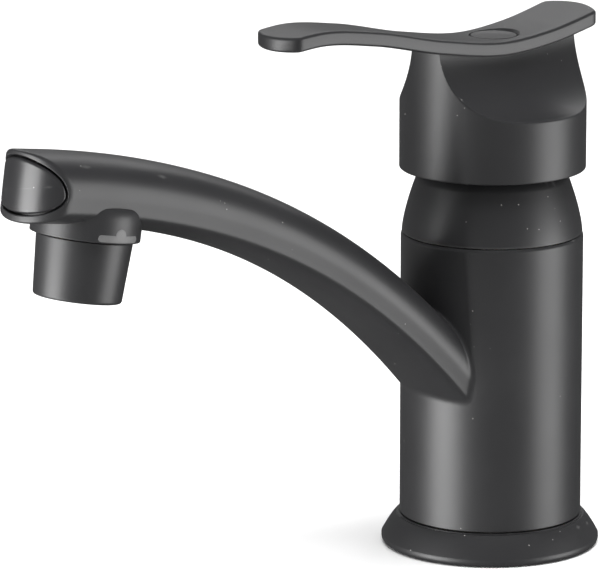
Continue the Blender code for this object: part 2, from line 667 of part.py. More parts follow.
def build_spout(black, index_grey, rubber, nylon, swivel):
    """One casting: the column's sleeve, the arched spout and the collar under its end."""
    low = FLANGE_HEIGHT + SEAM
    seat = glide_ring_radii()[1] + SEAT_GAP
    seat_low = low + GLIDE_HEIGHT + SEAT_GAP
    seat_high = COLUMN_TOP - GLIDE_HEIGHT - SEAT_GAP
    sleeve = [
        (seat, low), (COLUMN_RADIUS, low), (COLUMN_RADIUS, COLUMN_TOP - COLUMN_BEVEL),
        (COLUMN_RADIUS - COLUMN_BEVEL, COLUMN_TOP), (seat, COLUMN_TOP), (seat, seat_high),
        (BORE_RADIUS, seat_high), (BORE_RADIUS, seat_low), (seat, seat_low),
    ]
    spout = turned("spout_body", sleeve, black, swivel, steps=FINE)
    shares, points, tangents = spout_line(22, past_end=NOSE_REACH + CUT_PAST)
    arm = loft_mesh("arm", section_rings(shares, points, tangents, 0.0, 19, 11))
    combine(spout, arm, "UNION", swivel)

    collar = [
        (0, 0), (COLLAR_RADIUS - COLLAR_EDGE, 0), (COLLAR_RADIUS, COLLAR_EDGE),
        (COLLAR_RADIUS, COLLAR_SHOULDER),
    ]
    shoulder_in = COLLAR_RADIUS - NOSE_HALF_WIDTH
    for t in (0.4, 0.7, 0.9, 1.0):
        height = COLLAR_SHOULDER + (COLLAR_TOP - COLLAR_SHOULDER) * t
        collar.append((COLLAR_RADIUS - shoulder_in * (1 - math.sqrt(1 - t**2)), height))
    collar.append((0, COLLAR_TOP))
    combine(spout, turned_mesh("collar", collar, FINE), "UNION", swivel, **nozzle_place())

    # Rounds the spout's end about the nose's axis
    half, reach = nose_front(0.0)
    clear = 2 * NOSE_HALF_WIDTH
    turns = np.linspace(0, -math.pi, 33)
    round_end = [(half * math.cos(a), reach * math.sin(a)) for a in turns]
    front = [(clear, -clear), (clear, 0)] + round_end + [(-clear, 0), (-clear, -clear)]
    combine(spout, prism_mesh("nose", front, "Z", -clear, clear), "DIFFERENCE", swivel, **nose_place())

    hollow_spout(spout, seat_low, seat_high, swivel)
    build_nose_cover(spout, black, rubber, nylon, swivel)

    deep, proud = COLLAR_RADIUS - INDEX_DEPTH, COLLAR_RADIUS + INDEX_PROUD
    mark = index_mesh("mark", deep - SEAT_GAP, COLLAR_RADIUS + CUT_PAST, INDEX_ROOM)
    combine(spout, mark, "DIFFERENCE", swivel, **nozzle_place())
    index = index_mesh("nozzle_index", deep, proud, 0.0)
    add_object("nozzle_index", index, index_grey, swivel, **nozzle_place())


def hollow_spout(spout, seat_low, seat_high, swivel):
    """Opens the sleeve's bore where the arm runs into it, the waterway, and the collar's socket."""
    bore = tube_outline(0, BORE_RADIUS, seat_low + CUT_PAST, seat_high - CUT_PAST)
    combine(spout, turned_mesh("bore", bore, FINE), "DIFFERENCE", swivel)
    crossing, _ = nozzle_centre()
    shares, points, tangents = spout_line(60)
    last = int(np.argmax(np.linalg.norm(points - crossing, axis=1) < NIPPLE_BORE)) + 1
    keep = list(range(0, last, 3))
    way = section_rings(shares[keep], points[keep], tangents[keep], SPOUT_WALL, 11, 7)
    combine(spout, loft_mesh("way", way), "DIFFERENCE", swivel)
    socket_radius = NIPPLE_RADIUS + NIPPLE_STEP
    socket_top = NIPPLE_HOLD + SEAT_GAP
    socket = [
        (0, -CUT_PAST), (socket_radius, -CUT_PAST), (socket_radius, socket_top),
        (NIPPLE_BORE, socket_top), (NIPPLE_BORE, COLLAR_DROP), (0, COLLAR_DROP),
    ]
    combine(spout, turned_mesh("socket", socket, MEDIUM), "DIFFERENCE", swivel, **nozzle_place())


def build_nose_cover(spout, black, rubber, nylon, swivel):
    """The nose's pocket, the cover that fills it, and the plug and ring that hold the cover."""
    floor = COVER_THICKNESS + SEAT_GAP
    pocket = rounded_plate_mesh("pocket", floor, -CUT_PAST, COVER_GROOVE)
    combine(spout, pocket, "DIFFERENCE", swivel, **nose_place())
    cover = rounded_plate_mesh("nose_cover", COVER_THICKNESS, 0.0, 0.0, edge=COVER_EDGE)
    add_object("nose_cover", cover, black, swivel, **nose_place())

    plug_rise = (COVER_RISE - COVER_DROP) / 2
    bore = PLUG_RADIUS + SEAT_GAP
    floor_half, floor_reach = nose_front(floor)
    hole = prism_mesh("plug", disc_outline(bore, (0, plug_rise)), "Y", -floor_reach - CUT_PAST, PLUG_BORE_END)
    combine(spout, hole, "DIFFERENCE", swivel, **nose_place())

    # The plug lies along the nose's own -Y, so its outline is turned about that line
    face = floor_reach * math.sqrt(1 - (bore / floor_half) ** 2) - SEAT_GAP
    seat = Matrix.Translation((0, PLUG_LENGTH - face, plug_rise)) @ Matrix.Rotation(90 * DEG, 4, "X")
    groove = PLUG_RADIUS - PLUG_GROOVE_DEPTH
    groove_end = PLUG_GROOVE_START + PLUG_GROOVE_HEIGHT
    hollow = PLUG_LENGTH - PLUG_HOLLOW_DEPTH
    outline = [
        (0, 0), (PLUG_RADIUS, 0), (PLUG_RADIUS, PLUG_GROOVE_START), (groove, PLUG_GROOVE_START),
        (groove, groove_end), (PLUG_RADIUS, groove_end), (PLUG_RADIUS, PLUG_LENGTH),
        (PLUG_RADIUS / 2, PLUG_LENGTH), (PLUG_RADIUS / 2, hollow), (0, hollow),
    ]
    plug = turned_mesh("nose_plug", outline, SMALL)
    plug.transform(seat)
    add_object("nose_plug", plug, nylon, swivel, **nose_place())
    ring_radius = bore - SEAL_SQUEEZE - PLUG_SEAL_CORD / 2
    ring_height = PLUG_GROOVE_START + PLUG_GROOVE_HEIGHT / 2
    ring_outline = arc((ring_radius, ring_height), PLUG_SEAL_CORD / 2, 0, 360, 7)[:-1]
    ring = turned_mesh("nose_plug_seal", ring_outline, SMALL)
    ring.transform(seat)
    add_object("nose_plug_seal", ring, rubber, swivel, **nose_place())


def build_liner(nylon, swivel):
    """A moulded liner that carries the water from the sleeve to the nozzle."""
    crossing, _ = nozzle_centre()
    _, points, tangents = spout_line(80)
    clear = np.linalg.norm(points - crossing, axis=1) > NIPPLE_BORE + LINER_CLEAR
    outside = np.abs(points[:, 0]) > BORE_RADIUS + LINER_CLEAR
    keep = np.flatnonzero(clear & outside & (points[:, 0] > crossing[0]))[::5]
    rings = []
    for radius, order in ((LINER_RADIUS, keep), (LINER_RADIUS - LINER_WALL, keep[::-1])):
        circle = disc_outline(radius, (0, LINER_LIFT), 14)
        rings += [stand(circle, points[i], tangents[i]) for i in order]
    bm = bmesh.new()
    rows = [[bm.verts.new(p) for p in ring] for ring in rings]
    for row, following in zip(rows, rows[1:] + rows[:1]):
        for i in range(len(row)):
            j = (i + 1) % len(row)
            bm.faces.new((row[i], row[j], following[j], following[i]))
    add_object("spout_liner", mesh_from(bm, "spout_liner"), nylon, swivel)


# ---------------------------------------------------------------- nozzle


def build_nozzle(black, brass, rubber, nylon, steel, swivel):
    """A nipple fixed in the collar, and the tapered sleeve with its aerator, which turns on it."""
    place = nozzle_place()
    hold = NIPPLE_RADIUS + NIPPLE_STEP - SEAT_GAP
    nipple = [
        (NIPPLE_BORE, -NIPPLE_REACH), (NIPPLE_RADIUS, -NIPPLE_REACH), (NIPPLE_RADIUS, SEAM),
        (hold, SEAM), (hold, NIPPLE_HOLD), (NIPPLE_BORE, NIPPLE_HOLD),
    ]
    turned("nozzle_nipple", nipple, brass, swivel, steps=MEDIUM, **place)

    turn = add_axis("nozzle_axis", place["location"], -NOZZLE_TILT, swivel)
    top = -SEAM
    bottom = top - NOZZLE_LENGTH
    inner = NIPPLE_RADIUS + SLIDE_GAP
    seat = -NIPPLE_REACH - NOZZLE_SEAT_DROP
    low_inner = NOZZLE_END_RADIUS - NOZZLE_WALL
    sleeve = (
        [(inner, top), (NOZZLE_TOP_RADIUS, top)]
        + arc((NOZZLE_END_RADIUS - NOZZLE_LIP, bottom + NOZZLE_LIP), NOZZLE_LIP, 0, -90, 5)
        + [(low_inner, bottom), (low_inner, seat), (inner, seat)]
    )
    turned("nozzle_sleeve", sleeve, black, turn, steps=FINE)

    gasket_top = -NIPPLE_REACH - SEAT_GAP
    gasket_low = gasket_top - NOZZLE_GASKET_THICKNESS
    gasket = tube_outline(NIPPLE_BORE - GASKET_INSET, inner - SEAT_GAP, gasket_low, gasket_top)
    turned("nozzle_gasket", gasket, rubber, turn, SMALL)

    cage = low_inner - SEAT_GAP
    plate_low = bottom + AERATOR_RECESS
    plate_top = plate_low + SPRAY_THICKNESS
    roof = gasket_low - SEAT_GAP
    mouth = NIPPLE_BORE - AERATOR_MOUTH_INSET
    housing = [
        (cage - AERATOR_WALL, plate_top + SEAT_GAP), (cage, plate_top + SEAT_GAP), (cage, roof),
        (mouth, roof), (mouth, roof - AERATOR_ROOF), (cage - AERATOR_WALL, roof - AERATOR_ROOF),
    ]
    turned("aerator_housing", housing, nylon, turn, SMALL)

    screen = turned("spray_plate", tube_outline(0, cage, plate_low, plate_top), steel, turn, SMALL)
    outer_ring = cage - SPRAY_EDGE
    for ring_radius, count in ((outer_ring / 2, 6), (outer_ring, 12)):
        for i in range(count):
            angle = 2 * math.pi * (i + 0.4) / count
            at = (ring_radius * math.cos(angle), ring_radius * math.sin(angle))
            cut_round(screen, SPRAY_HOLE_RADIUS, at, plate_low - CUT_PAST, plate_top + CUT_PAST, 6, turn)


# ---------------------------------------------------------------- cartridge


def port_places():
    return (
        ("hot", (-INLET_OFFSET_X, INLET_OFFSET_Y)),
        ("cold", (INLET_OFFSET_X, INLET_OFFSET_Y)),
        ("outlet", (0.0, -OUTLET_OFFSET)),
    )


def cut_ports(piece, bottom, top):
    for _, at in port_places():
        cut_round(piece, PASSAGE_RADIUS * PORT_SHARE, at, bottom - CUT_PAST, top + CUT_PAST, 14)


def disc_stack():
    """Heights from the chamber's floor up: the base's underside and top, then the top of the fixed
    disc, of the moving disc and of the carrier."""
    base_low = CHAMBER_FLOOR + SEAT_GAP
    base_top = base_low + BASE_THICKNESS
    fixed_top = base_top + SEAT_GAP + DISC_THICKNESS
    moving_top = fixed_top + SLIDE_GAP + DISC_THICKNESS
    carrier_top = moving_top + SEAT_GAP + CARRIER_THICKNESS
    return base_low, base_top, fixed_top, moving_top, carrier_top


def stem_arm():
    """From the pivot down to the middle of the stem's round tip, which sits in the carrier's cup."""
    moving_top = disc_stack()[3]
    return PIVOT_HEIGHT - (moving_top + SEAT_GAP + CARRIER_FLOOR + SLIDE_GAP + STEM_TIP_RADIUS)


def build_base(nylon, rubber):
    """The cartridge's base: three ports, each with a seal in a pocket under it."""
    base_low, base_top = disc_stack()[:2]
    lip = base_top - BASE_LIP
    spigot = HOUSING_BORE - SEAT_GAP
    outline = [
        (0, base_low), (CARTRIDGE_RADIUS, base_low), (CARTRIDGE_RADIUS, lip), (spigot, lip),
        (spigot, base_top), (0, base_top),
    ]
    base = turned("cartridge_base", outline, nylon)
    cut_ports(base, base_low, base_top)
    for name, at in port_places():
        pocket_radius = PASSAGE_RADIUS + PORT_POCKET_SPREAD
        cut_round(base, pocket_radius, at, base_low - CUT_PAST, base_low + PORT_SEAL_DEPTH, 16)
        ring_radius = PASSAGE_RADIUS + PORT_SEAL_SPREAD
        height = base_low + PORT_SEAL_CORD / 2
        ring = seal_ring(f"{name}_port_seal", ring_radius, PORT_SEAL_CORD, height, rubber, steps=16)
        ring.location = (at[0], at[1], 0)


def build_cartridge(nylon, ceramic, steel, brass, turn):
    """The housing and its nut, the two discs, and the carrier and guide that the stem works."""
    _, base_top, fixed_top, moving_top, carrier_top = disc_stack()
    housing_low = base_top - BASE_LIP + SEAT_GAP
    bore = GUIDE_RADIUS + SLIDE_GAP
    housing = [
        (HOUSING_BORE, housing_low), (CARTRIDGE_RADIUS, housing_low),
        (CARTRIDGE_RADIUS, CARTRIDGE_SHOULDER), (CARTRIDGE_NECK_RADIUS, CARTRIDGE_SHOULDER),
        (CARTRIDGE_NECK_RADIUS, CARTRIDGE_TOP), (bore, CARTRIDGE_TOP),
        (bore, HOUSING_CEILING), (HOUSING_BORE, HOUSING_CEILING),
    ]
    turned("cartridge_housing", housing, nylon)

    fixed_low = base_top + SEAT_GAP
    fixed = turned("fixed_disc", tube_outline(0, FIXED_DISC_RADIUS, fixed_low, fixed_top), ceramic)
    cut_ports(fixed, fixed_low, fixed_top)

    moving_low = fixed_top + SLIDE_GAP
    moving_outline = tube_outline(0, MOVING_DISC_RADIUS, moving_low, moving_top)
    moving = turned("moving_disc", moving_outline, ceramic, turn)
    dish_top = moving_low + DISH_DEPTH
    dish = tube_outline(0, DISH_RADIUS, moving_low - CUT_PAST, dish_top)
    combine(moving, turned_mesh("dish", dish, SMALL), parent=turn)

    carrier_low = moving_top + SEAT_GAP
    carrier_outline = tube_outline(0, MOVING_DISC_RADIUS, carrier_low, carrier_top)
    carrier = turned("disc_carrier", carrier_outline, nylon, turn)
    cup = box_outline(STEM_TIP_RADIUS + CUP_ROOM, STEM_TIP_RADIUS + CUP_ROOM)
    cup_low = carrier_low + CARRIER_FLOOR
    combine(carrier, prism_mesh("cup", cup, "Z", cup_low, carrier_top + CUT_PAST), parent=turn)

    flange_low = carrier_top + SLIDE_GAP
    flange_top = flange_low + GUIDE_FLANGE
    flange_radius = HOUSING_BORE - GUIDE_FLANGE_ROOM
    guide_outline = [
        (0, flange_low), (flange_radius, flange_low), (flange_radius, flange_top),
        (GUIDE_RADIUS, flange_top), (GUIDE_RADIUS, GUIDE_TOP), (0, GUIDE_TOP),
    ]
    guide = turned("turn_guide", guide_outline, nylon, turn)
    slot = box_outline(STEM_SIDE / 2 + SLIDE_GAP, GUIDE_RADIUS - GUIDE_SKIN)
    slot_mesh = prism_mesh("slot", slot, "Z", flange_low - CUT_PAST, GUIDE_TOP + CUT_PAST)
    combine(guide, slot_mesh, parent=turn)
    hole = disc_outline(PIN_RADIUS + SLIDE_GAP, (0, PIVOT_HEIGHT), 16)
    past = GUIDE_RADIUS + CUT_PAST
    combine(guide, prism_mesh("pin_hole", hole, "X", -past, past), parent=turn)

    half_pin = GUIDE_RADIUS - PIN_RECESS
    pin = prism_mesh("pivot_pin", disc_outline(PIN_RADIUS, (0, PIVOT_HEIGHT), 20), "X", -half_pin, half_pin)
    add_object("pivot_pin", pin, steel, turn)

    nut_inner = CARTRIDGE_NECK_RADIUS + SEAT_GAP
    nut_outer = CARTRIDGE_RADIUS + NUT_LIP
    nut_low = CARTRIDGE_SHOULDER + SEAT_GAP
    nut_step = NECK_TOP + SEAT_GAP
    nut_top = CARTRIDGE_TOP - NUT_LIP
    nut_outline = [
        (nut_inner, nut_low), (CARTRIDGE_RADIUS, nut_low), (CARTRIDGE_RADIUS, nut_step),
        (nut_outer, nut_step), (nut_outer, nut_top), (nut_inner, nut_top),
    ]
    nut = turned("cartridge_nut", nut_outline, brass)
    notch = box_outline(NUT_NOTCH_HALF, 2 * NUT_LIP, (0, nut_outer + NUT_LIP / 2))
    for i in range(4):
        mesh = prism_mesh("notch", notch, "Z", nut_top - NUT_NOTCH_DEPTH, nut_top + CUT_PAST)
        combine(nut, mesh, rotation=(0, 0, math.pi / 4 + math.pi / 2 * i))


def build_stem(steel, lift):
    """A square bar on the pivot pin: its round tip slides the disc and its top holds the handle."""
    half = STEM_SIDE / 2
    tip = STEM_TIP_RADIUS
    arm = stem_arm()
    top = STEM_TOP - PIVOT_HEIGHT
    outline = (
        arc((0, -arm), tip, 180, 360, 9)
        + [(half, -arm + STEM_BODY_RISE), (half, top - STEM_CORNER), (half - STEM_CORNER, top)]
        + [(-half + STEM_CORNER, top), (-half, top - STEM_CORNER), (-half, -arm + STEM_BODY_RISE)]
    )
    stem = add_object("lever_stem", prism_mesh("lever_stem", outline, "X", -half, half), steel, lift)
    for side in (-1, 1):
        cheek = box_outline(half, STEM_SIDE, (side * (half + tip), 0))
        mesh = prism_mesh("cheek", cheek, "Z", -arm - 2 * tip, -arm + STEM_CHEEK_RISE)
        combine(stem, mesh, parent=lift)
    hole = prism_mesh("hole", disc_outline(PIN_RADIUS + SLIDE_GAP, (0, 0), 16), "X", -STEM_SIDE, STEM_SIDE)
    combine(stem, hole, parent=lift)
    cut_round(stem, SCREW_RADIUS + SEAT_GAP, (0, 0), top - screw_bite(), top + CUT_PAST, 16, lift)


def screw_bite():
    """How deep the stem's threaded hole is: the screw's reach into it, and a little room."""
    return STEM_TOP - (SCREW_SEAT - SCREW_LENGTH) + CUT_PAST


# ---------------------------------------------------------------- shoulder


def build_shoulder(black):
    """A thin domed cover over the cartridge's neck, screwed down on the core above the sleeve."""
    low = COLUMN_TOP + SEAM
    foot = COLUMN_RADIUS - SHOULDER_INSET
    side = [
        (foot - SHOULDER_IN * t**SHOULDER_POWER, low + SHOULDER_SIDE * t) for t in np.linspace(0, 1, 7)
    ]
    side_end, side_top = side[-1]
    neck = BORE_RADIUS - SLIDE_GAP - NECK_INSET + SEAT_GAP
    rest = [
        (side_end - 0.65 * SHOULDER_WALL, side_top + 0.8 * SHOULDER_WALL),
        (SHOULDER_MOUTH + 0.6 * SHOULDER_WALL, SHOULDER_TOP), (SHOULDER_MOUTH, SHOULDER_TOP),
        (SHOULDER_MOUTH, SHOULDER_TOP - SHOULDER_WALL),
        (side_end - 1.3 * SHOULDER_WALL, side_top - 0.3 * SHOULDER_WALL),
        (neck, NECK_TOP + 0.25 * SHOULDER_WALL), (neck, low),
    ]
    turned("shoulder_cover", side + rest, black, steps=FINE)


# ---------------------------------------------------------------- handle


def blade_top(count):
    """The line of the blade's top, as y and height above its dip."""
    return smooth_line(BLADE_LINE, count)


def blade_height(y):
    line_y, line_rise = blade_top(200)
    return BLADE_DIP + float(np.interp(y, line_y, line_rise))


def blade_under(y):
    """Height of the blade's underside: its thickness is measured square to the slope."""
    step = 1.0 * MM
    slope = (blade_height(y + step) - blade_height(y - step)) / (2 * step)
    return blade_height(y) - BLADE_THICKNESS * math.hypot(1, slope)


def blade_ring(share, columns):
    """One round of points across the blade, at a share of the way from its front to its back. Both
    ends bulge in a shallow arc, and the long edges are chamfered."""
    upper, lower = [], []
    for column in columns:
        front = BLADE_FRONT + BLADE_END_BULGE * column**2
        back = BLADE_BACK - BLADE_END_BULGE * column**2
        y = front + (back - front) * share
        along = (y - BLADE_FRONT) / (BLADE_BACK - BLADE_FRONT)
        half = (BLADE_FRONT_WIDTH + (BLADE_BACK_WIDTH - BLADE_FRONT_WIDTH) * along) / 2
        top, under = blade_height(y) - PIVOT_HEIGHT, blade_under(y) - PIVOT_HEIGHT
        if abs(column) < 1:
            upper.append((half * column, y, top))
            lower.append((half * column, y, under))
            continue
        inset = column * (half - BLADE_EDGE)
        edge = [
            (inset, y, top), (half * column, y, top - BLADE_EDGE),
            (half * column, y, under + BLADE_EDGE), (inset, y, under),
        ]
        if column > 0:
            upper += edge[:2]
            lower += edge[:1:-1]
        else:
            upper += edge[1::-1]
            lower += edge[2:]
    return upper + lower[::-1]


def blade_mesh(name):
    """Rounds of points from the front to the back, with strips of quads to close each end."""
    columns = np.linspace(-1, 1, 7)
    shares = (1 - np.cos(np.linspace(0, math.pi, 27))) / 2
    bm = bmesh.new()
    rows = [[bm.verts.new(point) for point in blade_ring(share, columns)] for share in shares]
    around = len(rows[0])
    for row, following in zip(rows, rows[1:]):
        for i in range(around):
            j = (i + 1) % around
            bm.faces.new((row[i], row[j], following[j], following[i]))
    for row in (rows[0], rows[-1]):
        for i in range(around // 2 - 1):
            bm.faces.new((row[i], row[i + 1], row[around - 2 - i], row[around - 1 - i]))
    return mesh_from(bm, name)


def build_hub(black, lift):
    """The hub: a skirt over the shoulder, a web between two scoops, and a boss on the stem."""
    def at(height):
        return height - PIVOT_HEIGHT

    inner = HUB_RADIUS - HUB_WALL
    full_top = at(max(blade_height(-HUB_RADIUS), blade_height(HUB_RADIUS)) + CUT_PAST)
    low, ceiling = at(HUB_BOTTOM), at(HUB_CEILING)
    hub_outline = [
        (inner, low), (HUB_RADIUS - HUB_EDGE, low), (HUB_RADIUS, low + HUB_EDGE), (HUB_RADIUS, full_top),
        (0, full_top), (0, ceiling), (inner - HUB_CORNER, ceiling), (inner, ceiling - HUB_CORNER),
    ]
    hub = turned("handle_hub", hub_outline, black, lift, steps=FINE)
    reach = HUB_RADIUS + CUT_PAST
    scoop_height = ceiling + HUB_ROOF + SCOOP_RADIUS
    for side in (-1, 1):
        scoop = disc_outline(SCOOP_RADIUS, (side * (HUB_RADIUS + SCOOP_OUTSET), scoop_height), 72)
        combine(hub, prism_mesh("scoop", scoop, "Y", -reach, reach), parent=lift)
    under = [(y, at(blade_under(y)) - SEAT_GAP) for y in np.linspace(-reach, reach, 25)]
    above = [(reach, full_top + HUB_ROOF), (-reach, full_top + HUB_ROOF)]
    combine(hub, prism_mesh("seat", under + above, "X", -reach, reach), parent=lift)

    boss_low = ceiling - BOSS_BELOW_CEILING
    boss = tube_outline(0, STEM_SIDE / 2 + BOSS_WALL, boss_low, ceiling + CUT_PAST)
    combine(hub, turned_mesh("boss", boss, SMALL), "UNION", lift)
    square = box_outline(STEM_SIDE / 2 + SEAT_GAP, STEM_SIDE / 2 + SEAT_GAP)
    socket_top = at(STEM_TOP) + SEAT_GAP
    combine(hub, prism_mesh("socket", square, "Z", boss_low - CUT_PAST, socket_top), parent=lift)
    seat = at(SCREW_SEAT)
    cut_round(hub, SCREW_RADIUS + SEAT_GAP, (0, 0), at(STEM_TOP) - CUT_PAST, seat + CUT_PAST, 16, lift)
    cut_round(hub, SCREW_HEAD_RADIUS + SEAT_GAP, (0, 0), seat, full_top, 24, lift)


def build_blade(black, steel, lift):
    """The blade on its web, the screw that holds the handle to the stem, and the screw's cap."""
    top = blade_height(0) - PIVOT_HEIGHT
    blade = add_object("lever_blade", blade_mesh("lever_blade"), black, lift)
    well = top - 2 * BLADE_THICKNESS
    cut_round(blade, SCREW_HEAD_RADIUS + SEAT_GAP, (0, 0), well, top + BLADE_THICKNESS, 24, lift)
    recess = top - CAP_THICKNESS - SEAT_GAP
    cut_round(blade, CAP_RADIUS + SEAT_GAP, (0, 0), recess, top + BLADE_THICKNESS, 40, lift)
    cap = [
        (0, top - CAP_THICKNESS), (CAP_RADIUS, top - CAP_THICKNESS), (CAP_RADIUS, top - CAP_RIM / 2),
        (CAP_RADIUS - CAP_RIM, top), (0.6 * CAP_RADIUS, top - 0.7 * CAP_DISH), (0, top - CAP_DISH),
    ]
    turned("screw_cap", cap, black, lift, steps=40)

    seat = SCREW_SEAT - PIVOT_HEIGHT
    head_low = seat + SEAT_GAP
    head_top = head_low + SCREW_HEAD_HEIGHT
    outline = [
        (0, seat - SCREW_LENGTH), (SCREW_RADIUS, seat - SCREW_LENGTH), (SCREW_RADIUS, head_low),
        (SCREW_HEAD_RADIUS, head_low), (SCREW_HEAD_RADIUS, head_top), (0, head_top),
    ]
    screw = turned("handle_screw", outline, steel, lift, SMALL)
    key_low = head_top - SCREW_KEY_DEPTH
    cut_round(screw, SCREW_KEY_RADIUS, (0, 0), key_low, head_top + CUT_PAST, 6, lift)


def main():
    clear_scene()
    black = make_material("satin_black", (0.035, 0.035, 0.036), 0.38, 0.0)
    index_grey = make_material("index_grey", (0.22, 0.22, 0.22), 0.45, 0.3)
    brass = make_material("cast_brass", (0.55, 0.42, 0.2), 0.35, 1.0)
    steel = make_material("steel", (0.55, 0.55, 0.56), 0.3, 1.0)
    rubber = make_material("black_rubber", (0.03, 0.03, 0.03), 0.8, 0.0)
    nylon = make_material("white_nylon", (0.75, 0.74, 0.7), 0.5, 0.0)
    ceramic = make_material("ceramic", (0.85, 0.83, 0.78), 0.15, 0.0)

    swivel = add_axis("spout_swivel_axis")
    turn = add_axis("lever_turn_axis")
    lift = add_axis("lever_lift_axis", (0, 0, PIVOT_HEIGHT), parent=turn)

    build_foot(black, rubber)
    build_core(brass, rubber, nylon)
    build_spout(black, index_grey, rubber, nylon, swivel)
    build_liner(nylon, swivel)
    build_nozzle(black, brass, rubber, nylon, steel, swivel)
    build_base(nylon, rubber)
    build_cartridge(nylon, ceramic, steel, brass, turn)
    build_stem(steel, lift)
    build_shoulder(black)
    build_hub(black, lift)
    build_blade(black, steel, lift)


main()
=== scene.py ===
import json
import math

import bmesh
import bpy
import numpy as np
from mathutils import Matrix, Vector


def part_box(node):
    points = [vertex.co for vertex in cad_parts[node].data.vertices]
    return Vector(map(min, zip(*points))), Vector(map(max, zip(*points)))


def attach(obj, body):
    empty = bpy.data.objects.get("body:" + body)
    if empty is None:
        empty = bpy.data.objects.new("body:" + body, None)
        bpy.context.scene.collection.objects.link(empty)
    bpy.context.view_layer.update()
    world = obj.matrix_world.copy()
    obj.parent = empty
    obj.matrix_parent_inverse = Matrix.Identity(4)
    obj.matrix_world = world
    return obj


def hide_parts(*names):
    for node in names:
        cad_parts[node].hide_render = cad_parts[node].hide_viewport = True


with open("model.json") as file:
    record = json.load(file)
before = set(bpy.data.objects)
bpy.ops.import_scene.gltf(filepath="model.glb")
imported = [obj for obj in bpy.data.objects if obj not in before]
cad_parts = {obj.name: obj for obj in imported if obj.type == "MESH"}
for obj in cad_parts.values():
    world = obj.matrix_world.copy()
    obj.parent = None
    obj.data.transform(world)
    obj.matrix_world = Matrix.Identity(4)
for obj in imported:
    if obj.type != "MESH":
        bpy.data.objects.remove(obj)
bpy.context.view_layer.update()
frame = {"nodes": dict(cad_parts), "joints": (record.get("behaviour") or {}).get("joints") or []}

mm = 0.001

# ------------------------------------------------------------------ brass core, nipple and nut
# The core is one gravity-cast brass body, turned on its lands, channel and grooves and left as
# cast between them. The nipple in the spout's end and the ring nut over the cartridge are turned
# from brass bar and screwed in.


def new_group(name, numbers, outputs):
    """An empty shader group: its number inputs with their values, and its outputs with their kinds."""
    group = bpy.data.node_groups.new(name, "ShaderNodeTree")
    for number, value in numbers.items():
        socket = group.interface.new_socket(name=number, in_out="INPUT", socket_type="NodeSocketFloat")
        socket.default_value = value
    for output, kind in outputs.items():
        group.interface.new_socket(name=output, in_out="OUTPUT", socket_type=kind)
    return group, group.nodes.new("NodeGroupInput"), group.nodes.new("NodeGroupOutput")


def math_node(tree, operation, first, second=None, third=None):
    """A Math node fed by sockets or plain numbers, and its result."""
    node = tree.nodes.new("ShaderNodeMath")
    node.operation = operation
    for socket, value in zip(node.inputs, (first, second, third)):
        if isinstance(value, bpy.types.NodeSocket):
            tree.links.new(value, socket)
        elif value is not None:
            socket.default_value = value
    return node.outputs[0]


def noise_node(tree, vector, scale, detail, roughness=0.5):
    """Noise on a vector, with its spread of scales."""
    node = tree.nodes.new("ShaderNodeTexNoise")
    node.inputs["Detail"].default_value = detail
    node.inputs["Roughness"].default_value = roughness
    tree.links.new(vector, node.inputs["Vector"])
    if isinstance(scale, bpy.types.NodeSocket):
        tree.links.new(scale, node.inputs["Scale"])
    else:
        node.inputs["Scale"].default_value = scale
    return node.outputs["Fac"]


def build_grain_group():
    """Fine grain: noise at the grain's size, plus a broad cloud. Grains and Clouds are counts to a
    metre. Height is the fine grain, Cloud the broad tone, both 0 to 1."""
    outputs = {"Height": "NodeSocketFloat", "Cloud": "NodeSocketFloat"}
    group, given, out = new_group("surface_grain", {"Grains": 2500.0, "Clouds": 40.0}, outputs)
    place = group.nodes.new("ShaderNodeTexCoord").outputs["Object"]
    fine = noise_node(group, place, given.outputs["Grains"], 3.0, 0.6)
    broad = noise_node(group, place, given.outputs["Clouds"], 4.0, 0.55)
    group.links.new(fine, out.inputs["Height"])
    group.links.new(broad, out.inputs["Cloud"])
    return group


def build_turning_group():
    """Turning marks: fine rings set by distance from the upright axis and by height, which a
    little noise breaks up. Height runs 0 to 1."""
    group, given, out = new_group("turning_marks", {"Rings": 9000.0}, {"Height": "NodeSocketFloat"})
    place = group.nodes.new("ShaderNodeTexCoord").outputs["Object"]
    split = group.nodes.new("ShaderNodeSeparateXYZ")
    group.links.new(place, split.inputs["Vector"])
    across = math_node(group, "MULTIPLY", split.outputs["X"], split.outputs["X"])
    square = math_node(group, "MULTIPLY_ADD", split.outputs["Y"], split.outputs["Y"], across)
    radius = math_node(group, "SQRT", square)
    wobble = math_node(group, "MULTIPLY", noise_node(group, place, 300.0, 2.0), 0.0006)
    steady = math_node(group, "ADD", radius, split.outputs["Z"])
    track = math_node(group, "ADD", steady, wobble)
    wave = math_node(group, "SINE", math_node(group, "MULTIPLY", track, given.outputs["Rings"]))
    group.links.new(math_node(group, "MULTIPLY_ADD", wave, 0.5, 0.5), out.inputs["Height"])
    return group


def place_group(tree, group, **numbers):
    """One use of a shader group in a material, with its own numbers."""
    node = tree.nodes.new("ShaderNodeGroup")
    node.node_tree = group
    for name, value in numbers.items():
        node.inputs[name].default_value = value
    return node.outputs


def start_material(name, metallic, roughness):
    """A material with one Principled shader, its plain numbers set on the shader itself."""
    material = bpy.data.materials.new(name)
    material.use_nodes = True
    shader = material.node_tree.nodes["Principled BSDF"]
    shader.inputs["Metallic"].default_value = metallic
    shader.inputs["Roughness"].default_value = roughness
    return material, material.node_tree, shader


def tone(tree, shader, factor, low, high):
    """Base colour between two tones, moved by a 0 to 1 factor."""
    mix = tree.nodes.new("ShaderNodeMix")
    mix.data_type = "RGBA"
    tree.links.new(factor, mix.inputs["Factor"])
    mix.inputs["A"].default_value = (*low, 1.0)
    mix.inputs["B"].default_value = (*high, 1.0)
    tree.links.new(mix.outputs["Result"], shader.inputs["Base Color"])
    return mix


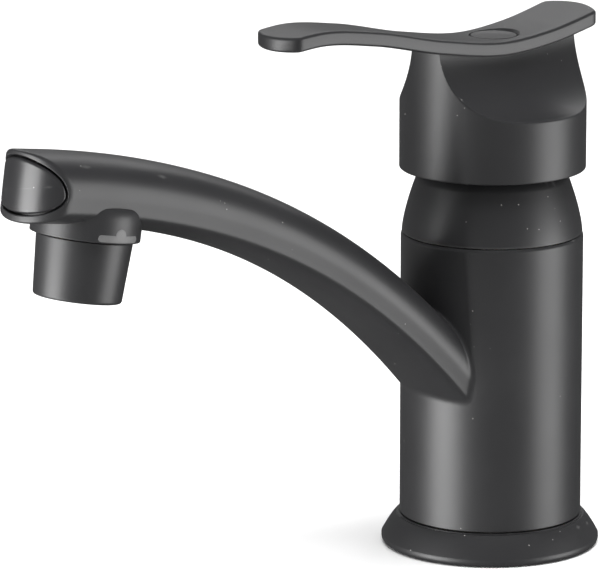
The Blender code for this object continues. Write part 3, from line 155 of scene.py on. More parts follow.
def spread(tree, socket, factor, low, high):
    """Drives a shader number from low to high as a factor goes 0 to 1."""
    tree.links.new(math_node(tree, "MULTIPLY_ADD", factor, high - low, low), socket)


def relief(tree, shader, height, depth):
    """A bump of a real depth in metres."""
    bump = tree.nodes.new("ShaderNodeBump")
    bump.inputs["Distance"].default_value = depth
    bump.inputs["Strength"].default_value = 1.0
    tree.links.new(height, bump.inputs["Height"])
    tree.links.new(bump.outputs["Normal"], shader.inputs["Normal"])


def refinish(nodes, material):
    """Gives CAD nodes a finished material in every slot of theirs."""
    for node in nodes:
        piece = frame["nodes"][node]
        for slot in piece.material_slots:
            slot.material = material


surface_grain = build_grain_group()
turning_marks = build_turning_group()


def brass_finish():
    """Raw cast brass: a sandy yellow metal with faint turning marks over the grain."""
    material, tree, shader = start_material("cast_brass_finish", 1.0, 0.38)
    grain = place_group(tree, surface_grain, Grains=1800.0, Clouds=60.0)
    rings = place_group(tree, turning_marks, Rings=9000.0)
    tone(tree, shader, grain["Cloud"], (0.46, 0.31, 0.12), (0.68, 0.50, 0.24))
    spread(tree, shader.inputs["Roughness"], grain["Height"], 0.28, 0.5)
    height = math_node(tree, "MULTIPLY_ADD", rings["Height"], 0.4, grain["Height"])
    relief(tree, shader, height, 0.03 * mm)
    return material


refinish(["inner_body", "nozzle_nipple", "cartridge_nut"], brass_finish())

# ------------------------------------------------------------------ rubber seals and gasket
# Moulded black nitrile rings and one flat gasket. They sit in their grooves a little squeezed,
# with the dull bloom that rubber has straight from the mould.


def rubber_finish():
    """Dull black rubber with a dusty grey bloom in soft clouds."""
    material, tree, shader = start_material("nitrile_rubber", 0.0, 0.75)
    grain = place_group(tree, surface_grain, Grains=3500.0, Clouds=90.0)
    tone(tree, shader, grain["Cloud"], (0.012, 0.012, 0.013), (0.035, 0.034, 0.034))
    spread(tree, shader.inputs["Roughness"], grain["Cloud"], 0.6, 0.85)
    relief(tree, shader, grain["Height"], 0.02 * mm)
    return material


seals = [
    "deck_gasket", "lower_swivel_seal", "upper_swivel_seal", "hot_port_seal", "cold_port_seal",
    "outlet_port_seal", "nose_plug_seal", "nozzle_gasket",
]
refinish(seals, rubber_finish())

# ------------------------------------------------------------------ glide rings, liner and cartridge shell
# Injection-moulded white acetal and nylon: the two rings that the spout turns on, the cartridge's
# base, housing, guide and carrier, the liner in the spout, the nose plug and the aerator's cage.


def moulded_finish():
    """Off-white moulded plastic: a fine matt skin, slightly warmer where the wall is thick."""
    material, tree, shader = start_material("moulded_nylon", 0.0, 0.45)
    shader.inputs["Subsurface Weight"].default_value = 0.15
    shader.inputs["Subsurface Scale"].default_value = 0.002
    grain = place_group(tree, surface_grain, Grains=4000.0, Clouds=70.0)
    tone(tree, shader, grain["Cloud"], (0.66, 0.64, 0.58), (0.80, 0.79, 0.75))
    spread(tree, shader.inputs["Roughness"], grain["Height"], 0.38, 0.55)
    relief(tree, shader, grain["Height"], 0.01 * mm)
    return material


mouldings = [
    "lower_glide_ring", "upper_glide_ring", "cartridge_base", "cartridge_housing", "turn_guide",
    "disc_carrier", "spout_liner", "nose_plug", "aerator_housing",
]
refinish(mouldings, moulded_finish())

# ------------------------------------------------------------------ ceramic discs
# Two lapped alumina discs, the lower one fixed and the upper one slid across it by the lever. Their
# faces are ground flat and nearly mirror smooth.


def ceramic_finish():
    """Cream alumina with a faint speckle and a ground sheen."""
    material, tree, shader = start_material("lapped_alumina", 0.0, 0.15)
    grain = place_group(tree, surface_grain, Grains=6000.0, Clouds=200.0)
    tone(tree, shader, grain["Height"], (0.78, 0.74, 0.66), (0.90, 0.88, 0.82))
    spread(tree, shader.inputs["Roughness"], grain["Cloud"], 0.1, 0.22)
    return material


refinish(["fixed_disc", "moving_disc"], ceramic_finish())

# ------------------------------------------------------------------ steel pin, stem, screw and spray plate
# The lever's square stem, its cross pin and the handle's socket screw are cut from stainless bar,
# and the spray plate under the aerator is a pressed stainless disc with a ring of small holes.


def steel_finish():
    """Stainless bar with drawn and turned marks."""
    material, tree, shader = start_material("stainless_bar", 1.0, 0.3)
    grain = place_group(tree, surface_grain, Grains=1500.0, Clouds=120.0)
    rings = place_group(tree, turning_marks, Rings=14000.0)
    tone(tree, shader, grain["Cloud"], (0.42, 0.42, 0.43), (0.62, 0.62, 0.63))
    spread(tree, shader.inputs["Roughness"], rings["Height"], 0.22, 0.4)
    relief(tree, shader, rings["Height"], 0.01 * mm)
    return material


refinish(["pivot_pin", "lever_stem", "handle_screw", "spray_plate"], steel_finish())

# ------------------------------------------------------------------ deck flange
# A turned ring that flares out to the deck and hides the hole and the gasket. Like every outer
# piece it is zinc or brass under a satin black electrophoretic coat, baked on.


def build_dust_group():
    """Dust: a few tiny specks, the nearest points of a sparse scatter, kept where a second noise
    lets them through. Mask is 1 on a speck."""
    numbers = {"Specks": 260.0, "Size": 0.05}
    group, given, out = new_group("settled_dust", numbers, {"Mask": "NodeSocketFloat"})
    place = group.nodes.new("ShaderNodeTexCoord").outputs["Object"]
    scatter = group.nodes.new("ShaderNodeTexVoronoi")
    group.links.new(place, scatter.inputs["Vector"])
    group.links.new(given.outputs["Specks"], scatter.inputs["Scale"])
    near = math_node(group, "LESS_THAN", scatter.outputs["Distance"], given.outputs["Size"])
    patchy = math_node(group, "GREATER_THAN", noise_node(group, place, 60.0, 1.0), 0.58)
    group.links.new(math_node(group, "MULTIPLY", near, patchy), out.inputs["Mask"])
    return group


def build_edge_highlight_group():
    """Painted edge highlight: how sharply the surface turns outwards, from a Geometry node's pointiness,
    cut to a thin line and broken up by noise. Mask runs 0 to 1; where it is 1 the coat is painted lighter."""
    numbers = {"Start": 0.52, "Gain": 12.0}
    group, given, out = new_group("painted_edge_highlight", numbers, {"Mask": "NodeSocketFloat"})
    place = group.nodes.new("ShaderNodeTexCoord").outputs["Object"]
    turn = group.nodes.new("ShaderNodeNewGeometry").outputs["Pointiness"]
    past_start = math_node(group, "SUBTRACT", turn, given.outputs["Start"])
    rise = math_node(group, "MULTIPLY", past_start, given.outputs["Gain"])
    broken = math_node(group, "MULTIPLY", rise, noise_node(group, place, 500.0, 2.0))
    level = math_node(group, "MINIMUM", math_node(group, "MAXIMUM", broken, 0.0), 1.0)
    group.links.new(level, out.inputs["Mask"])
    return group


settled_dust = build_dust_group()
painted_edge_highlight = build_edge_highlight_group()
COAT_DARK = (0.015, 0.015, 0.016)
COAT_LIGHT = (0.021, 0.021, 0.022)
# The edge tone is a painted highlight: the shine of convex edges laid into the coat's colour.
COAT_EDGE_HIGHLIGHT = (0.07, 0.07, 0.07)
DUST_TONE = (0.32, 0.31, 0.30)
COAT_UNEVEN = 0.04
DUST_ROUGHER = 0.4


def satin_black_finish(name="satin_black_coat", roughness=0.42, grains=5200.0):
    """Satin black coat: near-black, faintly mottled, with a fine orange peel, painted lighter on its
    convex edges as a painted highlight, and carrying a few specks of dust."""
    material, tree, shader = start_material(name, 0.0, roughness)
    shader.inputs["IOR"].default_value = 1.55
    grain = place_group(tree, surface_grain, Grains=grains, Clouds=45.0)
    # The edge mask paints convex edges lighter, a painted highlight rather than wear; the dust specks are
    # dust.
    edges = place_group(tree, painted_edge_highlight, Start=0.53, Gain=9.0)
    dust = place_group(tree, settled_dust, Specks=420.0, Size=0.06)
    mottle = tone(tree, shader, grain["Cloud"], COAT_DARK, COAT_LIGHT)
    colour = mottle.outputs["Result"]
    for mask, shade in ((edges["Mask"], COAT_EDGE_HIGHLIGHT), (dust["Mask"], DUST_TONE)):
        mix = tree.nodes.new("ShaderNodeMix")
        mix.data_type = "RGBA"
        tree.links.new(mask, mix.inputs["Factor"])
        tree.links.new(colour, mix.inputs["A"])
        mix.inputs["B"].default_value = (*shade, 1.0)
        colour = mix.outputs["Result"]
    tree.links.new(colour, shader.inputs["Base Color"])
    rough = math_node(tree, "MULTIPLY_ADD", grain["Cloud"], 2 * COAT_UNEVEN, roughness - COAT_UNEVEN)
    dusty = math_node(tree, "MULTIPLY_ADD", dust["Mask"], DUST_ROUGHER, rough)
    tree.links.new(dusty, shader.inputs["Roughness"])
    relief(tree, shader, grain["Height"], 0.012 * mm)
    return material


satin_black = satin_black_finish()
SHARP_ANGLE = math.radians(32.0)


def finish_piece(name, points, faces, material):
    """One closed piece from points and faces: doubles merged, faces turned outward, shaded smooth
    but for edges that turn by more than SHARP_ANGLE."""
    mesh = bpy.data.meshes.new(name)
    mesh.from_pydata(points.reshape(-1, 3).tolist(), [], faces.reshape(-1, 4).tolist())
    shape = bmesh.new()
    shape.from_mesh(mesh)
    bmesh.ops.remove_doubles(shape, verts=shape.verts, dist=1e-6)
    bmesh.ops.dissolve_degenerate(shape, edges=shape.edges, dist=1e-7)
    bmesh.ops.recalc_face_normals(shape, faces=shape.faces)
    shape.to_mesh(mesh)
    shape.free()
    mesh.shade_smooth()
    mesh.set_sharp_from_angle(angle=SHARP_ANGLE)
    mesh.materials.append(material)
    piece = bpy.data.objects.new(name, mesh)
    bpy.context.scene.collection.objects.link(piece)
    return piece


def grid_faces(rows, columns, wrap=True, start=0):
    """Quads between neighbouring points of a grid, each row joined to the next, and each row's
    last point to its first where it wraps."""
    index = start + np.arange(rows * columns).reshape(rows, columns)
    following = np.roll(index, -1, axis=1)
    if not wrap:
        index, following = index[:, :-1], index[:, 1:]
    return np.stack([index[:-1], following[:-1], following[1:], index[1:]], axis=-1)


LONGEST_EASE = 0.49


def bent(start, corner, end, share):
    """A quadratic curve from start to end that a corner pulls out: (1-s)^2 S + 2 s (1-s) C + s^2 E."""
    return (1 - share) ** 2 * start + 2 * share * (1 - share) * corner + share**2 * end


def eased(corners, radii, steps=7):
    """A profile with eased corners: each corner becomes a bent curve that leaves and meets its two
    straight runs at the corner's own radius from it, up to LONGEST_EASE of a run. Radius 0 keeps
    the corner."""
    corners = np.array(corners, float)
    blend = np.linspace(0, 1, steps)[:, None]
    runs = []
    for index, (corner, radius) in enumerate(zip(corners, radii)):
        if not radius:
            runs.append(corner[None])
            continue
        before = corners[index - 1] - corner
        after = corners[(index + 1) % len(corners)] - corner
        start = corner + before * min(LONGEST_EASE, radius / np.linalg.norm(before))
        end = corner + after * min(LONGEST_EASE, radius / np.linalg.norm(after))
        runs.append(bent(start, corner, end, blend))
    return np.concatenate(runs)


def turned_piece(name, profile, material, around, tilt=0.0, foot=(0.0, 0.0, 0.0)):
    """A closed profile of radius and height carried round an upright axis: x = r cos a, y = r sin a,
    z = h. The axis then tilts about X and stands at foot."""
    angle = np.linspace(0, 2 * math.pi, around, endpoint=False)
    radius, height = profile[:, 0, None], profile[:, 1, None]
    points = np.stack([radius * np.cos(angle), radius * np.sin(angle), height + 0 * angle], axis=-1)
    points = np.concatenate([points, points[:1]])
    lean, rise = math.cos(tilt), math.sin(tilt)
    y, z = points[..., 1].copy(), points[..., 2].copy()
    points[..., 1] = lean * y - rise * z
    points[..., 2] = rise * y + lean * z
    return finish_piece(name, points + np.array(foot), grid_faces(len(points), around), material)


flange_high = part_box("deck_flange")[1]
column_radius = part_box("spout_body")[1].x
flange_top = flange_high.z
flange_radius = flange_high.x
FLANGE_LIP = 0.5 * mm
FLANGE_ROUND = 1.5 * mm
FLANGE_POWER = 0.75
FLARE_END = 1.4 * FLANGE_ROUND
flare = np.linspace(1, 0, 24)
flare_drop = flange_top - FLARE_END
flare_line = np.stack([
    column_radius + FLANGE_LIP + (flange_radius - column_radius - FLANGE_LIP) * flare**FLANGE_POWER,
    flange_top - flare_drop * flare,
], axis=-1)
edge_turn = np.radians(np.linspace(-85, 0, 9))
flange_edge = np.stack([
    flange_radius - FLANGE_ROUND + FLANGE_ROUND * np.cos(edge_turn),
    FLANGE_ROUND + FLANGE_ROUND * np.sin(edge_turn),
], axis=-1)
COLUMN_WALL = 2.5 * mm
flange_bore = column_radius - COLUMN_WALL
gasket_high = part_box("deck_gasket")[1]
GASKET_WIDTH = 3.0 * mm
GASKET_ROOM = 0.3 * mm
groove_in = gasket_high.x - GASKET_WIDTH - GASKET_ROOM
groove_out = gasket_high.x + GASKET_ROOM
groove_top = gasket_high.z + GASKET_ROOM
flange_under = np.array([
    (flange_bore, 0.0), (groove_in, 0.0), (groove_in, groove_top), (groove_out, groove_top),
    (groove_out, 0.0),
])
flange_lip = eased(
    [(flange_bore, 0.0), (column_radius + FLANGE_LIP, flange_top), (flange_bore, flange_top)],
    (0.0, 0.25 * mm, 0.0),
)[1:-1]
flange_profile = np.concatenate([
    flange_under, flange_edge, flare_line[:-1], flange_lip, [[flange_bore, flange_top]],
])
flange = turned_piece("flange_shell", flange_profile, satin_black, around=224)
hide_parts("deck_flange")
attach(flange, "base")

# ------------------------------------------------------------------ spout: the column's sleeve
# The spout is one lost-wax brass casting. This is its upright sleeve, bored for the core and faced
# with a thin bevel at the top, where a seam shows under the shoulder cover.

column_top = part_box("upper_glide_ring")[1].z
column_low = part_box("spout_body")[0].z
RING_SEAT_DEPTH = 1.9 * mm
RING_SEAT_WALL = 0.8 * mm
TOP_BEVEL = 0.45 * mm
seat_radius = column_radius - RING_SEAT_WALL
bore_radius = column_radius - COLUMN_WALL
sleeve_corners = [
    (seat_radius, column_low), (column_radius, column_low), (column_radius, column_top - 1.5 * TOP_BEVEL),
    (column_radius - TOP_BEVEL, column_top), (seat_radius, column_top),
    (seat_radius, column_top - RING_SEAT_DEPTH), (bore_radius, column_top - RING_SEAT_DEPTH),
    (bore_radius, column_low + RING_SEAT_DEPTH), (seat_radius, column_low + RING_SEAT_DEPTH),
]
sleeve_profile = eased(sleeve_corners, (0, 0.3 * mm, 0.25 * mm, 0.12 * mm, 0, 0, 0, 0, 0))
sleeve = turned_piece("column_sleeve", sleeve_profile, satin_black, around=256)

# ------------------------------------------------------------------ spout: the arched arm and its nose
# The arm grows out of the sleeve with a small fillet, arches up and forward and ends in a nose
# whose front is half an ellipse in plan: a band round a pocket for the cover.

ARM_START = np.array((-12.7, 42.05)) * mm
ARM_END = np.array((-149.6, 116.2)) * mm
ARM_LEAVE = math.radians(49.0)
ARM_ARRIVE = math.radians(8.5)
ARM_PULLS = np.array((55.4, 57.6)) * mm
ROOT_HALF, NOSE_HALF = 14.0 * mm, 12.1 * mm
ROOT_CROWN, NOSE_CROWN = 9.05 * mm, 9.65 * mm
FACET = 3.5 * mm
ROOT_LEAN, NOSE_LEAN = 0.8 * mm, 0.3 * mm
ROOT_BELLY, NOSE_BELLY = 3.5 * mm, 4.6 * mm
ROOT_POWER, NOSE_POWER = 2.2, 2.8
BELLY_POWER = 2 / 2.2
CREASE_PASSES = 3
ARM_FILLET = 1.5 * mm
NOSE_ACROSS, NOSE_REACH = NOSE_HALF + 0.05 * mm, 9.05 * mm
NOSE_MEAN = (NOSE_ACROSS + NOSE_REACH) / 2
NOSE_EDGE = 1.0 * mm
ARCH_COLUMNS, FACET_COLUMNS, BELLY_COLUMNS = 88, 9, 74
arrive = np.array((-math.cos(ARM_ARRIVE), math.sin(ARM_ARRIVE)))
leave = np.array((-math.cos(ARM_LEAVE), math.sin(ARM_LEAVE)))
arm_controls = np.array([
    ARM_START, ARM_START + ARM_PULLS[0] * leave, ARM_END - ARM_PULLS[1] * arrive, ARM_END,
])


def arm_line(share):
    """The arm's line in the Y-Z plane: a cubic through four controls, P = sum of B_k(s) C_k, and
    its unit tangent."""
    s = share[..., None]
    a, b, c, d = arm_controls
    place = (1 - s) ** 3 * a + 3 * (1 - s) ** 2 * s * b + 3 * (1 - s) * s**2 * c + s**3 * d
    along = (1 - s) ** 2 * (b - a) + 2 * (1 - s) * s * (c - b) + s**2 * (d - c)
    return place, along / np.linalg.norm(along, axis=-1, keepdims=True)


arch_turn = np.linspace(0, math.pi, ARCH_COLUMNS, endpoint=False)
belly_turn = np.linspace(0, math.pi, BELLY_COLUMNS, endpoint=False)
facet_share = np.linspace(0, 1, FACET_COLUMNS, endpoint=False)


def arm_section(share):
    """The section at each share of the line, as x and height above the widest line. Going round: a
    full arch, a facet that leans in, a shallow belly arch, and the other facet. Both arches are
    superellipses, x = w c^p and height = h s^p. The creases between them are then softened by
    averaging each point with its neighbours."""
    power = 2 / (ROOT_POWER + (NOSE_POWER - ROOT_POWER) * share**2)
    half = ROOT_HALF + (NOSE_HALF - ROOT_HALF) * share
    crown = ROOT_CROWN + (NOSE_CROWN - ROOT_CROWN) * share
    belly = ROOT_BELLY + (NOSE_BELLY - ROOT_BELLY) * share
    lean = ROOT_LEAN + (NOSE_LEAN - ROOT_LEAN) * share
    arch = slice(0, ARCH_COLUMNS)
    left = slice(ARCH_COLUMNS, ARCH_COLUMNS + FACET_COLUMNS)
    under = slice(ARCH_COLUMNS + FACET_COLUMNS, ARCH_COLUMNS + FACET_COLUMNS + BELLY_COLUMNS)
    right = slice(ARCH_COLUMNS + FACET_COLUMNS + BELLY_COLUMNS, None)
    x, rise = np.zeros(share.shape), np.zeros(share.shape)
    arch_cosine, belly_cosine = np.cos(arch_turn), np.cos(belly_turn)
    x[:, arch] = half[:, arch] * np.sign(arch_cosine) * np.abs(arch_cosine) ** power[:, arch]
    rise[:, arch] = crown[:, arch] * np.sin(arch_turn) ** power[:, arch]
    x[:, left] = -half[:, left] + lean[:, left] * facet_share
    rise[:, left] = -FACET * facet_share
    low_half = half[:, under] - lean[:, under]
    x[:, under] = -low_half * np.sign(belly_cosine) * np.abs(belly_cosine) ** BELLY_POWER
    rise[:, under] = -FACET - belly[:, under] * np.sin(belly_turn) ** BELLY_POWER
    x[:, right] = half[:, right] - lean[:, right] * (1 - facet_share)
    rise[:, right] = -FACET + FACET * facet_share
    for _ in range(CREASE_PASSES):
        x = (np.roll(x, 1, axis=1) + 2 * x + np.roll(x, -1, axis=1)) / 4
        rise = (np.roll(rise, 1, axis=1) + 2 * rise + np.roll(rise, -1, axis=1)) / 4
    return x, rise


def arm_points(share):
    """The arm's surface: the section stood square to the line at each share."""
    place, along = arm_line(share)
    x, rise = arm_section(share)
    normal = np.stack([along[..., 1], -along[..., 0]], axis=-1)
    at = place + normal * rise[..., None]
    return np.stack([x, at[..., 0], at[..., 1]], axis=-1)


arm_columns = ARCH_COLUMNS + 2 * FACET_COLUMNS + BELLY_COLUMNS
SCAN_TO, SCAN_STEPS = 0.45, 260
scan_shares = np.linspace(0, SCAN_TO, SCAN_STEPS)
scan = arm_points(np.repeat(scan_shares[:, None], arm_columns, axis=1))
scan_radius = np.hypot(scan[..., 0], scan[..., 1])
outside = np.argmax((scan_radius > column_radius) & (scan[..., 1] < 0), axis=0)
column_index = np.arange(arm_columns)
below, above = scan_radius[outside - 1, column_index], scan_radius[outside, column_index]
scan_step = scan_shares[1] - scan_shares[0]
hit_share = scan_shares[outside - 1] + (column_radius - below) / (above - below) * scan_step
crossing = arm_points(hit_share[None])[0]
share_step = 1e-3
just_past = arm_points((hit_share + share_step)[None])[0]
speed = np.linalg.norm(just_past - crossing, axis=-1) / share_step
arm_from = hit_share + ARM_FILLET / speed
fillet_out = arm_points(arm_from[None])[0]


def on_column(turn, height, radius):
    """Points on an upright cylinder, from arc length round the column at its surface, and height."""
    angle = turn / column_radius
    return np.stack([radius * np.sin(angle), -radius * np.cos(angle), height], axis=-1)


loop_turn = np.arctan2(crossing[:, 0], -crossing[:, 1]) * column_radius
loop = np.stack([loop_turn, crossing[:, 2]], axis=-1)
loop_along = np.roll(loop, -1, axis=0) - np.roll(loop, 1, axis=0)
loop_out = np.stack([loop_along[:, 1], -loop_along[:, 0]], axis=-1)
loop_out /= np.linalg.norm(loop_out, axis=1, keepdims=True)
loop_middle = loop.mean(axis=0)
loop_out *= np.sign(((loop - loop_middle) * loop_out).sum(axis=1, keepdims=True))
foot_loop = loop + ARM_FILLET * loop_out
FILLET_SUNK, ROOT_DEPTH = 0.01 * mm, 1.2 * mm
fillet_in = on_column(foot_loop[:, 0], foot_loop[:, 1], column_radius - FILLET_SUNK)
fillet_rows = bent(fillet_in, crossing, fillet_out, np.linspace(0, 1, 9)[:, None, None])
shrink = np.array((0.0, 0.35, 0.7, 1.0))[:, None, None]
root_loops = loop_middle + shrink * (foot_loop - loop_middle)
root_rows = on_column(root_loops[..., 0], root_loops[..., 1], column_radius - ROOT_DEPTH)

ARM_ROWS, NOSE_ROWS = 150, 26
run_share = np.linspace(0, 1, ARM_ROWS)[1:, None]
arm_rows = arm_points(arm_from + (1 - arm_from) * run_share)
nose_up = np.array((arrive[1], -arrive[0]))


def nose_points(x, forward, rise):
    """Points given about the nose's axis: across, forward of the axis, and up along it."""
    at = ARM_END + forward[..., None] * arrive + rise[..., None] * nose_up
    return np.stack([x, at[..., 0], at[..., 1]], axis=-1)


end_x, end_rise = (value[0] for value in arm_section(np.ones((1, arm_columns))))
end_reach = NOSE_REACH * np.sqrt(np.maximum(1 - (end_x / NOSE_ACROSS) ** 2, 0))
side_share = np.linspace(0, 1, NOSE_ROWS)[1:, None]
EDGE_SHARE_OF_REACH, EDGE_SHARE_OF_BAND = 0.6, 0.45
edge_back = np.minimum(NOSE_EDGE, EDGE_SHARE_OF_REACH * end_reach)
side_reach = side_share * (end_reach - edge_back)
side_rows = nose_points(end_x + 0 * side_reach, side_reach, end_rise + 0 * side_reach)

COVER_TURN = math.radians(74.0)
COVER_RISE, COVER_DROP = 7.9 * mm, 5.7 * mm
COVER_POWER = 2 / 1.82
COVER_GROOVE = 0.5 * mm
COVER_DEPTH = 2.0 * mm
FACET_TURN = math.radians(26.0)
eye_turn = np.concatenate([
    arch_turn,
    math.pi + FACET_TURN * facet_share,
    math.pi + FACET_TURN + (math.pi - 2 * FACET_TURN) * belly_turn / math.pi,
    2 * math.pi - FACET_TURN + FACET_TURN * facet_share,
])


def eye_outline(turn, grow):
    """The cover's outline as arc length round the nose and height: a superellipse whose upper half
    is taller than its lower half, and grow wider on every side."""
    cosine = np.sign(np.cos(turn)) * np.abs(np.cos(turn)) ** COVER_POWER
    sine = np.sign(np.sin(turn)) * np.abs(np.sin(turn)) ** COVER_POWER
    reach = np.where(sine > 0, COVER_RISE, COVER_DROP) + grow
    return np.stack([(COVER_TURN * NOSE_MEAN + grow) * cosine, reach * sine], axis=-1)


def on_nose(outline, inset):
    """Points on the nose's front, which is half an ellipse in plan, set back by inset, from length
    round it and height."""
    angle = outline[..., 0] / NOSE_MEAN
    across, forward = (NOSE_ACROSS - inset) * np.sin(angle), (NOSE_REACH - inset) * np.cos(angle)
    return nose_points(across, forward, outline[..., 1])


front_turn = np.arcsin(np.clip(end_x / NOSE_ACROSS, -1, 1))
front_loop = np.stack([front_turn * NOSE_MEAN, end_rise], axis=-1)
pocket_loop = eye_outline(eye_turn, COVER_GROOVE)
band = pocket_loop - front_loop
band_width = np.linalg.norm(band, axis=1, keepdims=True)
edge_loop = front_loop + band * np.minimum(EDGE_SHARE_OF_BAND, NOSE_EDGE / band_width)
edge_share = np.linspace(0, 1, 9)[1:, None, None]
edge_rows = bent(side_rows[-1], on_nose(front_loop, 0.0), on_nose(edge_loop, 0.0), edge_share)
RIM_ROUND = 0.25 * mm
band_share = np.linspace(0, 1, 8)[1:, None, None]
rim_loop = eye_outline(eye_turn, COVER_GROOVE + RIM_ROUND)
band_loops = edge_loop + band_share * (rim_loop - edge_loop)
band_rows = on_nose(band_loops, 0.0)
rim_turn = np.linspace(0, math.pi / 2, 5)[1:]
rim_grows = COVER_GROOVE + RIM_ROUND * (1 - np.sin(rim_turn))
rim_insets = RIM_ROUND * (1 - np.cos(rim_turn))
rim_rows = np.stack([
    on_nose(eye_outline(eye_turn, grow), inset) for grow, inset in zip(rim_grows, rim_insets)
])
COVER_BACK_GAP = 0.3 * mm
pocket_floor = COVER_DEPTH + COVER_BACK_GAP
floor_rows = np.stack([on_nose(pocket_loop * share, pocket_floor) for share in (1.0, 0.95, 0.6, 0.3, 0.0)])
arm_grid = np.concatenate([
    root_rows, fillet_rows, arm_rows, side_rows, edge_rows, band_rows, rim_rows, floor_rows,
])
arm = finish_piece("spout_arm", arm_grid, grid_faces(len(arm_grid), arm_columns), satin_black)

# ------------------------------------------------------------------ spout: the collar for the nozzle
# A short round boss under the arm's end, cast with it and square to the nozzle. Its rim is faced,
# and a grey index plate is let into its outer side.

nozzle_joint = next(joint for joint in frame["joints"] if joint["name"] == "nozzle_turn")
rim_centre = nozzle_joint["pos_m"]
nozzle_tilt = math.atan2(nozzle_joint["axis"][1], -nozzle_joint["axis"][2])
COLLAR_RADIUS = 13.8 * mm
COLLAR_SHOULDER, COLLAR_TOP = 5.2 * mm, 8.7 * mm
SOCKET_RADIUS, SOCKET_HEIGHT = 10.6 * mm, 7.8 * mm
WAY_RADIUS = 7.0 * mm
dome_climb = np.linspace(0, 1, 14)
collar_dome = np.stack([
    COLLAR_RADIUS - (COLLAR_RADIUS - NOSE_HALF) * (1 - np.sqrt(1 - dome_climb**2)),
    COLLAR_SHOULDER + (COLLAR_TOP - COLLAR_SHOULDER) * dome_climb,
], axis=-1)
collar_corners = [
    (SOCKET_RADIUS, SOCKET_HEIGHT), (SOCKET_RADIUS, 0), (COLLAR_RADIUS, 0), (COLLAR_RADIUS, COLLAR_SHOULDER),
]
collar_foot = eased(collar_corners, (0, 0.15 * mm, 0.35 * mm, 0))
collar_way = [(WAY_RADIUS, COLLAR_TOP), (WAY_RADIUS, SOCKET_HEIGHT)]
collar_profile = np.concatenate([collar_foot[:-1], collar_dome, collar_way])
collar = turned_piece("nozzle_collar", collar_profile, satin_black, 224, nozzle_tilt, rim_centre)
for piece in (sleeve, arm, collar):
    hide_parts("spout_body")
    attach(piece, "spout")

# ------------------------------------------------------------------ index plate
# A thin stamped plate of satin grey nickel, glued nearly flush into the collar. Its round bump is
# the mark that the nozzle is turned against.


def index_finish():
    """Satin nickel plate with a fine blasted grain."""
    material, tree, shader = start_material("satin_nickel_grey", 0.35, 0.55)
    grain = place_group(tree, surface_grain, Grains=7000.0, Clouds=150.0)
    tone(tree, shader, grain["Cloud"], (0.12, 0.12, 0.12), (0.16, 0.16, 0.16))
    spread(tree, shader.inputs["Roughness"], grain["Height"], 0.42, 0.6)
    relief(tree, shader, grain["Height"], 0.01 * mm)
    return material


INDEX_HALF = math.radians(26.0) * COLLAR_RADIUS
INDEX_RISE, INDEX_HEIGHT = 0.35 * mm, 2.1 * mm
INDEX_BUMP = 1.65 * mm
INDEX_PROUD, INDEX_SUNK = 0.06 * mm, -0.4 * mm
INDEX_EDGE = 0.7 * INDEX_PROUD
index_middle = (INDEX_RISE + INDEX_HEIGHT) / 2
index_half_height = (INDEX_HEIGHT - INDEX_RISE) / 2
bump_across = INDEX_BUMP * np.sin(np.linspace(-math.pi / 2, math.pi / 2, 41))
wing = INDEX_BUMP + (INDEX_HALF - INDEX_BUMP) * np.sin(np.linspace(0, math.pi / 2, 40))[1:]
index_across = np.concatenate([-wing[::-1], bump_across, wing])
past_bar = np.maximum(np.abs(index_across) - (INDEX_HALF - index_half_height), 0)
end_height = np.sqrt(np.maximum(index_half_height**2 - past_bar**2, 0))
index_under = index_middle - end_height
index_over = index_middle + end_height + np.sqrt(np.maximum(INDEX_BUMP**2 - index_across**2, 0))
index_climb = np.array((0, 0, 0.04, 0.1, 0.5, 0.9, 0.96, 1, 1))
index_face = (INDEX_EDGE, INDEX_PROUD, INDEX_PROUD, INDEX_PROUD, INDEX_EDGE)
index_proud = np.array((INDEX_SUNK, 0, *index_face, 0, INDEX_SUNK))
index_rise = index_under[:, None] + index_climb * (index_over - index_under)[:, None]
index_turn = index_across[:, None] / COLLAR_RADIUS
index_out = (COLLAR_RADIUS + index_proud) * np.cos(index_turn)
index_side = (COLLAR_RADIUS + index_proud) * np.sin(index_turn)
index_lean, index_tip = math.cos(nozzle_tilt), math.sin(nozzle_tilt)
index_rows = np.stack([
    index_out, index_lean * index_side - index_tip * index_rise,
    index_tip * index_side + index_lean * index_rise,
], axis=-1) + np.array(rim_centre)
index_faces = grid_faces(len(index_rows), len(index_climb))
index_plate = finish_piece("index_plate", index_rows, index_faces, index_finish())
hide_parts("nozzle_index")
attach(index_plate, "spout")

# ------------------------------------------------------------------ nose cover
# A moulded cap that snaps into the nose's pocket on a hidden plug. It follows the nose's round
# front and has a well rounded rim, with a thin shadow gap all round.

COVER_ROUND = 0.8 * mm
COVER_CROWN = 0.05 * mm
cover_turn = np.linspace(0, 2 * math.pi, 220, endpoint=False)
face_rows = [
    on_nose(eye_outline(cover_turn, -COVER_ROUND) * share, -COVER_CROWN * (1 - share**2))
    for share in np.sin(np.linspace(0, math.pi / 2, 18))
]
round_rows = [
    on_nose(eye_outline(cover_turn, -COVER_ROUND * (1 - math.sin(a))), COVER_ROUND * (1 - math.cos(a)))
    for a in np.linspace(0, math.pi / 2, 9)[1:]
]
back_rows = [on_nose(eye_outline(cover_turn, 0.0) * share, COVER_DEPTH) for share in (1.0, 0.9, 0.5, 0.0)]
cover_grid = np.stack(face_rows + round_rows + back_rows)
cover_black = satin_black_finish("moulded_black", 0.3, 8000.0)
cover_faces = grid_faces(len(cover_grid), len(cover_turn))
cover = finish_piece("nose_cover_shell", cover_grid, cover_faces, cover_black)
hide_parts("nose_cover")
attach(cover, "spout")

# ------------------------------------------------------------------ nozzle sleeve
# A turned, slightly tapered sleeve that hangs from the nipple and turns on it. Its mouth is rolled
# round and holds the aerator a little way inside.

